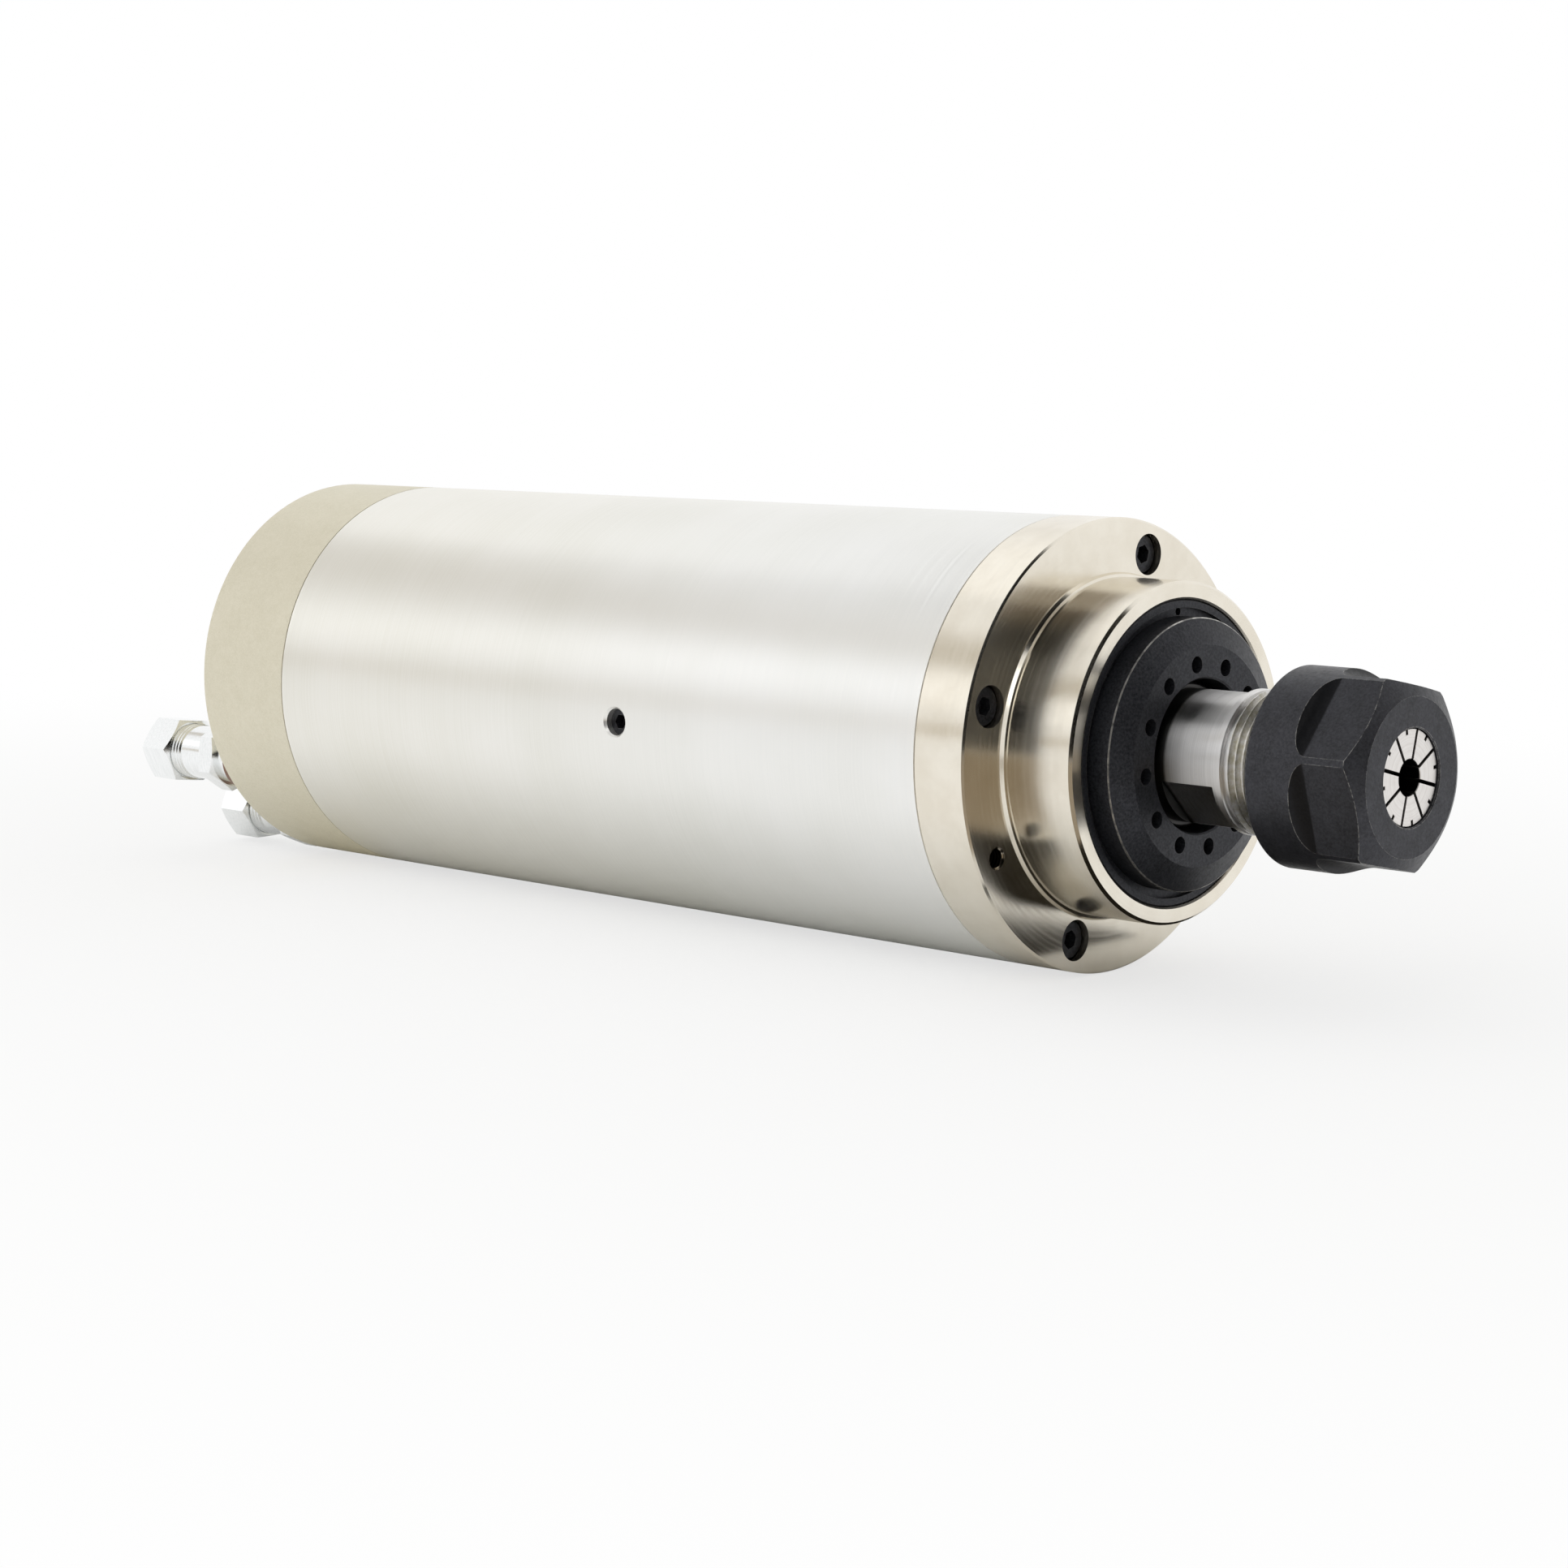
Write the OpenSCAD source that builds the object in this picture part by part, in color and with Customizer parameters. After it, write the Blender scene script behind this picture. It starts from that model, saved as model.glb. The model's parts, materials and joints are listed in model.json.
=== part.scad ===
// Water-cooled motor spindle with a collet nose, lying with its nose towards +X.
// The origin is on the spindle axis, in the middle of the body tube.
// Stations run along the axis from the seam between tube and flange, positive towards the nose.
// Angles about the axis start at +Y and turn towards +Z.

/* [Housing] */
// Outer diameter of the tube, the rear cap and the front flange
body_d = 80; // [79:0.5:84]
// Length of the body tube between its two seams
tube_length = 173; // [168:1:185]
// Wall of the body tube
tube_wall = 3; // [2.6:0.2:3.4]
// Length of the rear cap
cap_length = 27.1; // [26:0.1:32]
// Thickness of the front flange
flange_thickness = 10.8; // [9.6:0.2:13]
// Diameter of the nose, which is the register that a machine plate fits
nose_d = 59.4; // [58.6:0.2:61]
// Length of the nose in front of the flange
nose_length = 14.6; // [14:0.2:18]
// How far the heads of the flange screws lie below the flange face
head_recess = 1.2; // [0.6:0.2:2]

/* [Shaft end and collet] */
// Diameter of the ground neck between the gland and the nut
neck_d = 23; // [22:0.5:24]
// Width across the two spanner flats on the neck
neck_flats = 20; // [19:0.5:20.5]
// Length of the neck in front of the gland
neck_length = 11.3; // [10:0.5:16]
// Outer diameter of the thread on the shaft end
thread_d = 25; // [24.9:0.1:25.2]
// Pitch of the thread on the shaft end
thread_pitch = 1.5; // [1:0.25:2]
// Outer diameter of the collet nut
nut_d = 34; // [33.4:0.2:36]
// Length of the collet nut
nut_length = 21.3; // [21:0.1:23]
// Width of the hexagon on the collet nut
nut_hex = 30; // [28.5:0.5:32]
// Bore of the collet
collet_bore = 6; // [3:0.5:8]
// Number of jaws in the collet
collet_jaws = 8; // [6:1:8]

/* [Motor] */
// Room behind the laminated core for its winding head and the rear bearings
rear_room = 45; // [42:1:60]
// Radial depth of the stator laminations, from the bore to the outside
stator_depth = 11.8; // [11:0.1:12.6]
// Air gap between rotor and stator
air_gap = 0.4; // [0.3:0.05:0.5]
// Number of slots in the stator
slot_count = 24; // [18:6:24]
// Number of bars in the rotor cage
bar_count = 22; // [16:1:24]

/* [Cooling] */
// Number of lengthwise channels in the water jacket
channel_count = 8; // [8:2:10]
// Depth of the channels
channel_depth = 2.6; // [2:0.2:3]
// Bore of the water passages
water_bore = 4; // [3:0.5:4]
// Width of the hexagons on the hose fittings
fitting_hex = 13; // [12.4:0.2:13.6]

/* [Fits] */
// Gap on radius between two pieces that locate on each other
seat_gap = 0.02; // [0.01:0.01:0.04]
// Gap on radius between two pieces that turn or slide on each other
running_gap = 0.05; // [0.03:0.01:0.08]

/* [Hidden] */
$fn = 72;

// Stations along the axis
body_r = body_d / 2;
flange_face = flange_thickness;
nose_face = flange_face + nose_length;
tube_rear = -tube_length;
cap_rear = tube_rear - cap_length;
seam_width = 0.15;
seam_depth = 0.5;
flange_edge = 0.35;

// Bearings: the two sizes that this class of spindle uses
front_bore_r = 12.5;
front_outer_r = 23.5;
front_width = 12;
front_ball_r = 3.175;
front_ball_count = 14;
rear_bore_r = 7.5;
rear_outer_r = 16;
rear_width = 9;
rear_ball_r = 2.38;
rear_ball_count = 11;
spacer_width = 2;

// Front bearing stack, from the gland backwards
gland_x = nose_face - 13.4;
front_b_x = gland_x - front_width;
spacer_x = front_b_x - spacer_width;
front_a_x = spacer_x - front_width;
lip_x = front_a_x - 4;
lip_bore_r = 19.5;
collar_x = front_a_x - 6;
collar_r = 15.5;

// Black gland nut in the nose
gland_r = 26.6;
gland_ring_x = nose_face - 0.3;
gland_step_r = 25.1;
gland_step_x = nose_face - 1.4;
disc_r = 23.6;
disc_rim_x = nose_face + 3.1;
disc_face_x = nose_face + 5;
disc_face_r = 19.1;
gland_bore_r = 13.3;
pin_hole_count = 12;
pin_hole_angle = 7.5;
pin_hole_pcr = 15.9;
pin_hole_r = 1.48;
pin_hole_depth = 8;
front_nut_r = 17.6;
front_nut_width = 6;
felt_x = gland_x + front_nut_width + 1.8;
felt_width = 2.4;

// Screws in the two end faces
screw_pcr = body_r - 5.5;
flange_screw_angle = 73.9;
jack_angle = 27.8;
jack_pcr = 35;
jack_hole_r = 1.65;
jack_mouth = 0.3;
cap_screw_angle = 55;
m4_r = 2;
m4_head_r = 3.5;
m4_head_h = 4;
m4_key = 3;
screw_grip = 11;
counterbore_r = m4_head_r + 0.15;
clearance_r = m4_r + 0.25;

// Water jacket
jacket_r = body_r - tube_wall - seat_gap;
stator_r = body_r - 8;
jacket_floor_r = jacket_r - channel_depth;
channel_pitch = 360 / channel_count;
rib_width = 5.6;
channel_front = -24.5;
channel_rear = tube_rear + 17;
crossing_length = 8;
ring_groove_width = 2.4;
ring_groove_depth = 1.6;
front_ring_x = -18.4;
rear_ring_x = tube_rear + 13.8;
rear_pocket_r = stator_r - 3;
rear_pocket_x = tube_rear + 10;
rear_lip_r = rear_pocket_r - 2.5;
rear_wall_x = tube_rear + 23;

// Hose fittings on the rear cap
port_pcr = body_r - 7;
port_ring_r = 2.95;
port_ring_section = 0.5;
port_angle = -125;
inlet_angle = port_angle - channel_pitch / 2;
outlet_angle = port_angle + channel_pitch / 2;
port_x = tube_rear + 19.5;
port_thread_r = 4.9;
port_thread_depth = 8;
fitting_collar_r = 5.6;
washer_t = 1.2;
hex_start = 5;
hex_end = 10;
hose_neck_end = 17.4;
hose_neck_r = 5.7;
hose_thread_r = 5.9;
hose_thread_pitch = 1;
hose_body_end = 23.6;
hose_nut_start = 20.6;
hose_nut_end = 29.6;
ferrule_start = 25.1;
ferrule_end = 27.1;
hose_r = 3;
hose_stop = 12;
inlet_hex_turn = 51;
inlet_nut_turn = 21.5;
outlet_hex_turn = 19;
outlet_nut_turn = 45;

// Power connector
connector_pcr = 17;
connector_angle = 60;
connector_r = 7.9;
connector_wall = 3;
connector_end = 13.5;
connector_collar_r = 10.8;
connector_nut_r = 11;
insert_r = 6.4;
pin_circle_r = 3.2;
pin_count = 4;
pin_r = 0.8;
pin_end = -9;

// Stator lock screw in the side of the tube
lock_x = -73.5;
lock_angle = 178.6;
lock_r = 2.5;
lock_boss_r = 5;
lock_head_depth = 1.6;

// Motor
core_front = -42;
core_rear = tube_rear + rear_room;
core_length = core_front - core_rear;
stator_bore_r = stator_r - stator_depth;
rotor_r = stator_bore_r - air_gap;
slot_bottom_r = stator_r - 3.5;
slot_top_r = stator_bore_r + 1.2;
wedge_t = 0.9;
overhang = 18;
overhang_r = stator_r - 2.6;
rotor_bore_r = rotor_r - 6.8;
bar_circle_r = rotor_r - 2.3;
bar_r = 1.6;
end_ring_length = 6;
end_ring_in_r = bar_circle_r - 2.5;
balance_peg = 3.5;

// Rear bearings in their seat
seat_front = tube_rear + 10;
seat_rear = tube_rear - 3;
seat_hub_front = seat_front + 9;
rear_b_x = seat_rear;
rear_a_x = rear_b_x + rear_width;
spring_x = rear_a_x + rear_width;
spring_length = 2;
seat_hub_r = rear_outer_r + 5;
seat_lip_r = rear_outer_r - 3;
rear_nut_r = 12;
rear_nut_width = 7;
cavity_r = rear_pocket_r - 3;
cavity_x = tube_rear - 18;
lead_hole_r = 3.6;
lead_pcr = rear_lip_r - 2.7;
lead_r = 0.9;
earth_angle = 40;
earth_pcr = lead_pcr - 1.2;

// Shaft end, nut and collet
neck_x = disc_face_x - 3.4;
shoulder_x = disc_face_x + neck_length;
shoulder_r = thread_d / 2 - 0.1;
relief_x = shoulder_x + 1.4;
thread_x = relief_x + 0.8;
nut_x = thread_x + 7;
nut_front = nut_x + nut_length;
collet_face = nut_front - 0.5;
collet_length = 31.5;
collet_r = 10.5;
taper_start = collet_face - 6.3;
taper_angle = 8;
shaft_front = taper_start - 1.6;
thread_end = shaft_front - 1.8;
thread_depth = 0.6 * thread_pitch;
bore_rear = 10;
flat_angle = 226.4;
flat_start = disc_face_x - 0.3;
flat_end = shoulder_x - 1.2;
hex_angle = 138;
hex_x = nut_x + 11.7;
cutter_r = 3.1;
nut_face_r = 13.3;
nut_opening_r = 8.15;
jaw_slot = 0.65;
jaw_angle = 30.6;
shaft_rear = seat_rear - rear_nut_width - 2;
shaft_step_r = rotor_bore_r + 1.5;
shaft_step_x = core_front + end_ring_length + balance_peg + 0.5;

// Lays children along the axis: their Z becomes the station, and their X the start of the angles
module along_axis() {
    translate([tube_length / 2, 0, 0]) rotate([90, 0, 90]) children();
}

// Solid of revolution about the spindle axis from an outline of [radius, station] points
module turned(outline) {
    along_axis() rotate_extrude(convexity = 8) polygon(outline);
}

// Plain ring about the spindle axis
module band(x0, x1, r_in, r_out) {
    turned([[r_in, x0], [r_out, x0], [r_out, x1], [r_in, x1]]);
}

// Puts children on a circle about the axis, with local X pointing outwards and local Z forwards
module at(angle, radius, x) {
    along_axis() rotate([0, 0, angle]) translate([radius, 0, x]) children();
}

module spread(count, angle, radius, x) {
    for (k = [0 : count - 1]) at(angle + 360 * k / count, radius, x) children();
}

// Like at(), with local Z pointing backwards out of the rear cap
module behind_cap(angle, radius) {
    at(angle, radius, cap_rear) mirror([0, 0, 1]) children();
}

// Circle radius of a hexagon from its width across flats
function hex_r(width) = width / 2 / cos(30);

// Socket cap screw with the top of its head at the origin and its shank towards -Z
module cap_screw(length) {
    chamfer = 0.35;
    end = -m4_head_h - length;
    shank_r = m4_r - seat_gap;
    difference() {
        rotate_extrude() polygon([
            [0, end], [shank_r - 0.4, end], [shank_r, end + 0.4], [shank_r, -m4_head_h],
            [m4_head_r, -m4_head_h], [m4_head_r, -chamfer], [m4_head_r - chamfer, 0], [0, 0]
        ]);
        translate([0, 0, -2.2]) cylinder(r = hex_r(m4_key), h = 3, $fn = 6);
    }
}

// O-ring about local Z, in a groove with the given floor
module o_ring(ring_r, section_r) {
    rotate_extrude() translate([ring_r, 0]) circle(r = section_r, $fn = 24);
}

// Outer ring of an angular-contact bearing, its high shoulder on the side given by facing
module outer_ring(x, facing, bore_r, outer_r, width, ball_r) {
    pitch = (bore_r + outer_r) / 2;
    high = pitch + 0.5 * ball_r;
    low = pitch + 0.86 * ball_r;
    mid = x + width / 2;
    first = facing > 0 ? low : high;
    last = facing > 0 ? high : low;
    c = 0.6;
    along_axis() rotate_extrude(convexity = 6) difference() {
        polygon([
            [first, x], [outer_r - seat_gap - c, x], [outer_r - seat_gap, x + c],
            [outer_r - seat_gap, x + width - c], [outer_r - seat_gap - c, x + width],
            [last, x + width], [last, mid], [first, mid]
        ]);
        translate([pitch, mid]) circle(r = ball_r + running_gap, $fn = 48);
    }
}

module inner_ring(x, facing, bore_r, outer_r, width, ball_r) {
    pitch = (bore_r + outer_r) / 2;
    high = pitch - 0.5 * ball_r;
    mid = x + width / 2;
    c = 0.6;
    along_axis() rotate_extrude(convexity = 6) difference() {
        polygon([
            [bore_r + seat_gap + c, x], [high, x], [high, x + width], [bore_r + seat_gap + c, x + width],
            [bore_r + seat_gap, x + width - c], [bore_r + seat_gap, x + c]
        ]);
        translate([pitch, mid]) circle(r = ball_r + running_gap, $fn = 48);
    }
}

module bearing_balls(x, bore_r, outer_r, width, ball_r, count) {
    spread(count, 0, (bore_r + outer_r) / 2, x + width / 2) sphere(r = ball_r);
}

// Solid cage with a round pocket for each ball
module ball_cage(x, bore_r, outer_r, width, ball_r, count) {
    pitch = (bore_r + outer_r) / 2;
    half = ball_r + 1.1;
    mid = x + width / 2;
    difference() {
        band(mid - half, mid + half, pitch - 0.34 * ball_r, pitch + 0.34 * ball_r);
        spread(count, 0, pitch, mid) rotate([0, 90, 0])
            cylinder(r = ball_r + 2 * running_gap, h = 2 * ball_r, center = true);
    }
}

module body_tube() {
    r = body_r;
    color("#D9D6CE") difference() {
        turned([
            [r - tube_wall, tube_rear], [r - seam_depth, tube_rear], [r, tube_rear + seam_width],
            [r, -seam_width], [r - seam_depth, 0], [r - tube_wall, 0]
        ]);
        at(lock_angle, 0, lock_x) rotate([0, 90, 0]) cylinder(r = lock_r, h = r + 1);
        at(lock_angle, r - 0.45, lock_x) rotate([0, 90, 0])
            cylinder(r1 = lock_r, r2 = lock_r + 0.6, h = 0.6);
    }
}

// Rib between one water channel and the next, short at one end so that the water turns back there
module jacket_rib(k) {
    last = k == channel_count - 1;
    x0 = k % 2 == 0 || last ? channel_rear - 1 : channel_rear + crossing_length;
    x1 = k % 2 == 0 && !last ? channel_front - crossing_length : channel_front + 1;
    at(inlet_angle - (k + 0.5) * channel_pitch, 0, x0)
        translate([0, -rib_width / 2, 0]) cube([body_r, rib_width, x1 - x0]);
}

// Passage from a water port in the rear face up into the end of its channel
module port_passage(angle) {
    r = 0.85 * water_bore / 2;
    pcr = jacket_floor_r - r - 0.3;
    at(angle, pcr, tube_rear - 1) cylinder(r = r, h = port_x + r - tube_rear + 1);
    at(angle, pcr, port_x) rotate([0, 90, 0]) cylinder(r = 0.9 * r, h = 8);
}

module water_jacket() {
    groove_r = jacket_r - ring_groove_depth;
    color("#B9BCC0") difference() {
        turned([
            [stator_r, rear_wall_x], [rear_pocket_r, rear_wall_x], [rear_pocket_r, rear_pocket_x + 5],
            [rear_lip_r, rear_pocket_x + 5], [rear_lip_r, rear_pocket_x], [rear_pocket_r, rear_pocket_x],
            [rear_pocket_r, tube_rear], [jacket_r, tube_rear], [jacket_r, 0], [stator_r, 0]
        ]);
        difference() {
            band(channel_rear, channel_front, jacket_floor_r, body_r);
            for (k = [0 : channel_count - 1]) jacket_rib(k);
            at(lock_angle, 0, lock_x) rotate([0, 90, 0]) cylinder(r = lock_boss_r, h = body_r);
        }
        for (x = [front_ring_x, rear_ring_x])
            band(x - ring_groove_width / 2, x + ring_groove_width / 2, groove_r, body_r);
        port_passage(inlet_angle);
        port_passage(outlet_angle);
        spread(4, flange_screw_angle, screw_pcr, -screw_grip - 1) cylinder(r = m4_r, h = screw_grip + 2);
        spread(4, cap_screw_angle, screw_pcr, tube_rear - 1) cylinder(r = m4_r, h = screw_grip + 2);
        at(lock_angle, 0, lock_x) rotate([0, 90, 0]) cylinder(r = lock_r, h = body_r);
    }
}

module jacket_o_rings() {
    section = (body_r - tube_wall - jacket_r + ring_groove_depth) / 2 - seat_gap;
    centre = body_r - tube_wall - section - seat_gap;
    color("#202124") for (x = [front_ring_x, rear_ring_x]) at(0, 0, x) o_ring(centre, section);
}

module front_flange() {
    nose_r = nose_d / 2;
    spigot_r = stator_r - seat_gap;
    groove_x = front_a_x / 2;
    head_floor = flange_face - head_recess - m4_head_h;
    color("#C9C2B4") difference() {
        turned([
            [lip_bore_r, lip_x], [spigot_r - 1, lip_x], [spigot_r, lip_x + 1],
            [spigot_r, groove_x - 1.2], [spigot_r - ring_groove_depth, groove_x - 1.2],
            [spigot_r - ring_groove_depth, groove_x + 1.2], [spigot_r, groove_x + 1.2], [spigot_r, 0],
            [body_r - seam_depth, 0], [body_r, seam_width],
            [body_r, flange_face - flange_edge], [body_r - flange_edge, flange_face],
            [nose_r + 0.8, flange_face], [nose_r + 0.5, flange_face + 0.7], [nose_r, flange_face + 0.8],
            [nose_r, nose_face - 0.5], [nose_r - 0.5, nose_face], [gland_r + 0.3, nose_face],
            [gland_r, nose_face - 0.3], [gland_r, gland_x - 0.2], [front_outer_r, gland_x - 0.2],
            [front_outer_r, front_a_x], [lip_bore_r, front_a_x]
        ]);
        spread(4, flange_screw_angle, screw_pcr, -1) cylinder(r = clearance_r, h = flange_face);
        spread(4, flange_screw_angle, screw_pcr, head_floor) cylinder(r = counterbore_r, h = m4_head_h + 2);
        spread(2, jack_angle, jack_pcr, -1) cylinder(r = jack_hole_r, h = flange_face + 2);
        spread(2, jack_angle, jack_pcr, flange_face - jack_mouth)
            cylinder(r1 = jack_hole_r, r2 = jack_hole_r + 2 * jack_mouth, h = 2 * jack_mouth);
    }
}

module flange_o_ring() {
    section = (ring_groove_depth - seat_gap) / 2;
    centre = stator_r - section - seat_gap;
    color("#202124") at(0, 0, front_a_x / 2) o_ring(centre, section);
}

module flange_screws() {
    color("#26272A") spread(4, flange_screw_angle, screw_pcr, flange_face - head_recess)
        cap_screw(flange_face - head_recess - m4_head_h + screw_grip);
}

module gland_nut() {
    r = gland_r - running_gap;
    color("#33353A") difference() {
        turned([
            [lip_bore_r - 0.9, gland_x], [r, gland_x], [r, gland_ring_x - 0.3], [r - 0.3, gland_ring_x],
            [gland_step_r, gland_ring_x], [gland_step_r, gland_step_x], [disc_r, gland_step_x],
            [disc_r, disc_rim_x - 0.15], [disc_r - 0.15, disc_rim_x], [disc_face_r, disc_face_x],
            [gland_bore_r + 0.3, disc_face_x], [gland_bore_r, disc_face_x - 0.3],
            [gland_bore_r, felt_x + felt_width], [gland_bore_r + 2.2, felt_x + felt_width],
            [gland_bore_r + 2.2, felt_x], [gland_bore_r, felt_x],
            [gland_bore_r, gland_x + front_nut_width + 1],
            [lip_bore_r - 0.9, gland_x + front_nut_width + 1]
        ]);
        spread(pin_hole_count, pin_hole_angle, pin_hole_pcr, disc_face_x - pin_hole_depth)
            cylinder(r = pin_hole_r, h = pin_hole_depth + 1);
        at(88, gland_step_r - 0.75, gland_step_x - 3) cylinder(r = 0.7, h = 8);
    }
}

module gland_felt_ring() {
    color("#C8C2B0") band(felt_x, felt_x + felt_width, front_bore_r + 0.35, gland_bore_r + 2.2 - seat_gap);
}

// Slotted ring nut on the shaft
module ring_nut(x0, x1, bore, outer, slot_count, slot_depth) {
    difference() {
        turned([
            [bore, x0], [outer - 0.5, x0], [outer, x0 + 0.5],
            [outer, x1 - 0.5], [outer - 0.5, x1], [bore, x1]
        ]);
        spread(slot_count, 0, outer, (x0 + x1) / 2) cube([2 * slot_depth, 3.5, x1 - x0 + 1], center = true);
    }
}

module front_lock_nut() {
    color("#8A8C90") 
        ring_nut(gland_x, gland_x + front_nut_width, front_bore_r + seat_gap, front_nut_r, 4, 1.6);
}

module front_bearing_a_outer_ring() {
    color("#C4C7CA") outer_ring(front_a_x, 1, front_bore_r, front_outer_r, front_width, front_ball_r);
}

module front_bearing_a_inner_ring() {
    color("#C4C7CA") inner_ring(front_a_x, 1, front_bore_r, front_outer_r, front_width, front_ball_r);
}

module front_bearing_a_balls() {
    color("#E4E6E8")
        bearing_balls(front_a_x, front_bore_r, front_outer_r, front_width, front_ball_r, front_ball_count);
}

module front_bearing_a_cage() {
    color("#8C6B3C")
        ball_cage(front_a_x, front_bore_r, front_outer_r, front_width, front_ball_r, front_ball_count);
}

module front_bearing_b_outer_ring() {
    color("#C4C7CA") outer_ring(front_b_x, -1, front_bore_r, front_outer_r, front_width, front_ball_r);
}

module front_bearing_b_inner_ring() {
    color("#C4C7CA") inner_ring(front_b_x, -1, front_bore_r, front_outer_r, front_width, front_ball_r);
}

module front_bearing_b_balls() {
    color("#E4E6E8")
        bearing_balls(front_b_x, front_bore_r, front_outer_r, front_width, front_ball_r, front_ball_count);
}

module front_bearing_b_cage() {
    color("#8C6B3C")
        ball_cage(front_b_x, front_bore_r, front_outer_r, front_width, front_ball_r, front_ball_count);
}

module bearing_spacer_outer() {
    color("#A9ABAE") band(spacer_x, front_b_x, front_outer_r - 3, front_outer_r - seat_gap);
}

module bearing_spacer_inner() {
    color("#A9ABAE") band(spacer_x, front_b_x, front_bore_r + seat_gap, front_bore_r + 3);
}

// Section of one stator slot between two radii, narrowed by the given gap on each side
module slot_section(r0, r1, gap) {
    w0 = 0.56 * (2 * PI * r0 / slot_count) - gap;
    w1 = 0.56 * (2 * PI * r1 / slot_count) - gap;
    polygon([[r0, -w0 / 2], [r1, -w1 / 2], [r1, w1 / 2], [r0, w0 / 2]]);
}

module stator_core() {
    color("#6F7276") along_axis() translate([0, 0, core_rear]) linear_extrude(core_length) difference() {
        circle(r = stator_r - seat_gap);
        circle(r = stator_bore_r);
        for (k = [0 : slot_count - 1]) rotate(k * 360 / slot_count) {
            slot_section(slot_top_r, slot_bottom_r, 0);
            translate([stator_bore_r - 1, -0.6]) square([3, 1.2]);
        }
    }
}

// Winding heads at both ends, joined by the coil sides in the slots
module stator_windings() {
    r0 = slot_top_r + wedge_t + 0.1;
    r1 = slot_bottom_r - 0.25;
    core_front_end = core_front + overhang;
    core_rear_end = core_rear - overhang;
    c = 2.5;
    color("#A5562C") {
        along_axis() translate([0, 0, core_rear - 1]) linear_extrude(core_length + 2)
            for (k = [0 : slot_count - 1]) rotate(k * 360 / slot_count) slot_section(r0, r1, 0.5);
        turned([
            [r0, core_front + 0.5], [overhang_r - 2, core_front + 0.5], [overhang_r, core_front + 4],
            [overhang_r, core_front_end - c], [overhang_r - c, core_front_end],
            [r0 + c, core_front_end], [r0, core_front_end - c]
        ]);
        turned([
            [r0, core_rear - 0.5], [r0, core_rear_end + c], [r0 + c, core_rear_end],
            [overhang_r - c, core_rear_end], [overhang_r, core_rear_end + c],
            [overhang_r, core_rear - 4], [overhang_r - 2, core_rear - 0.5]
        ]);
    }
}

module slot_wedges() {
    color("#D8C48A") along_axis() translate([0, 0, core_rear]) linear_extrude(core_length)
        for (k = [0 : slot_count - 1]) rotate(k * 360 / slot_count)
            slot_section(slot_top_r + seat_gap, slot_top_r + wedge_t, 2 * seat_gap);
}

// Grub screw that holds the stator from turning
module stator_lock_screw() {
    r0 = stator_r;
    r1 = body_r - lock_head_depth;
    color("#1E1F21") at(lock_angle, 0, lock_x) rotate([0, 90, 0]) difference() {
        translate([0, 0, r0]) cylinder(r = lock_r - seat_gap, h = r1 - r0);
        translate([0, 0, r1 - 2]) cylinder(r = hex_r(2.5), h = 3, $fn = 6);
    }
}

module rear_bearing_seat() {
    outer = rear_pocket_r - seat_gap;
    color("#B4B7BA") difference() {
        turned([
            [rear_outer_r, seat_rear], [outer, seat_rear], [outer, seat_front], [seat_hub_r, seat_front],
            [seat_hub_r, seat_hub_front], [seat_lip_r, seat_hub_front],
            [seat_lip_r, spring_x + spring_length], [rear_outer_r, spring_x + spring_length]
        ]);
        at(connector_angle, lead_pcr, seat_rear - 1) cylinder(r = lead_hole_r, h = 20);
        at(connector_angle + earth_angle, earth_pcr, seat_rear - 1) cylinder(r = 1.5, h = 8);
    }
}

// Wave spring that preloads the rear pair, drawn as the flat ring it is between its seats
module wave_spring() {
    color("#9FA2A6")
        band(spring_x + seat_gap, spring_x + spring_length - seat_gap, seat_lip_r, rear_outer_r - 0.3);
}

module rear_bearing_a_outer_ring() {
    color("#C4C7CA") outer_ring(rear_a_x, 1, rear_bore_r, rear_outer_r, rear_width, rear_ball_r);
}

module rear_bearing_a_inner_ring() {
    color("#C4C7CA") inner_ring(rear_a_x, 1, rear_bore_r, rear_outer_r, rear_width, rear_ball_r);
}

module rear_bearing_a_balls() {
    color("#E4E6E8")
        bearing_balls(rear_a_x, rear_bore_r, rear_outer_r, rear_width, rear_ball_r, rear_ball_count);
}

module rear_bearing_a_cage() {
    color("#8C6B3C")
        ball_cage(rear_a_x, rear_bore_r, rear_outer_r, rear_width, rear_ball_r, rear_ball_count);
}

module rear_bearing_b_outer_ring() {
    color("#C4C7CA") outer_ring(rear_b_x, 1, rear_bore_r, rear_outer_r, rear_width, rear_ball_r);
}

module rear_bearing_b_inner_ring() {
    color("#C4C7CA") inner_ring(rear_b_x, 1, rear_bore_r, rear_outer_r, rear_width, rear_ball_r);
}

module rear_bearing_b_balls() {
    color("#E4E6E8")
        bearing_balls(rear_b_x, rear_bore_r, rear_outer_r, rear_width, rear_ball_r, rear_ball_count);
}

module rear_bearing_b_cage() {
    color("#8C6B3C")
        ball_cage(rear_b_x, rear_bore_r, rear_outer_r, rear_width, rear_ball_r, rear_ball_count);
}

module rear_lock_nut() {
    color("#8A8C90") 
        ring_nut(seat_rear - rear_nut_width, seat_rear, rear_bore_r + seat_gap, rear_nut_r, 4, 1.4);
}

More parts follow.
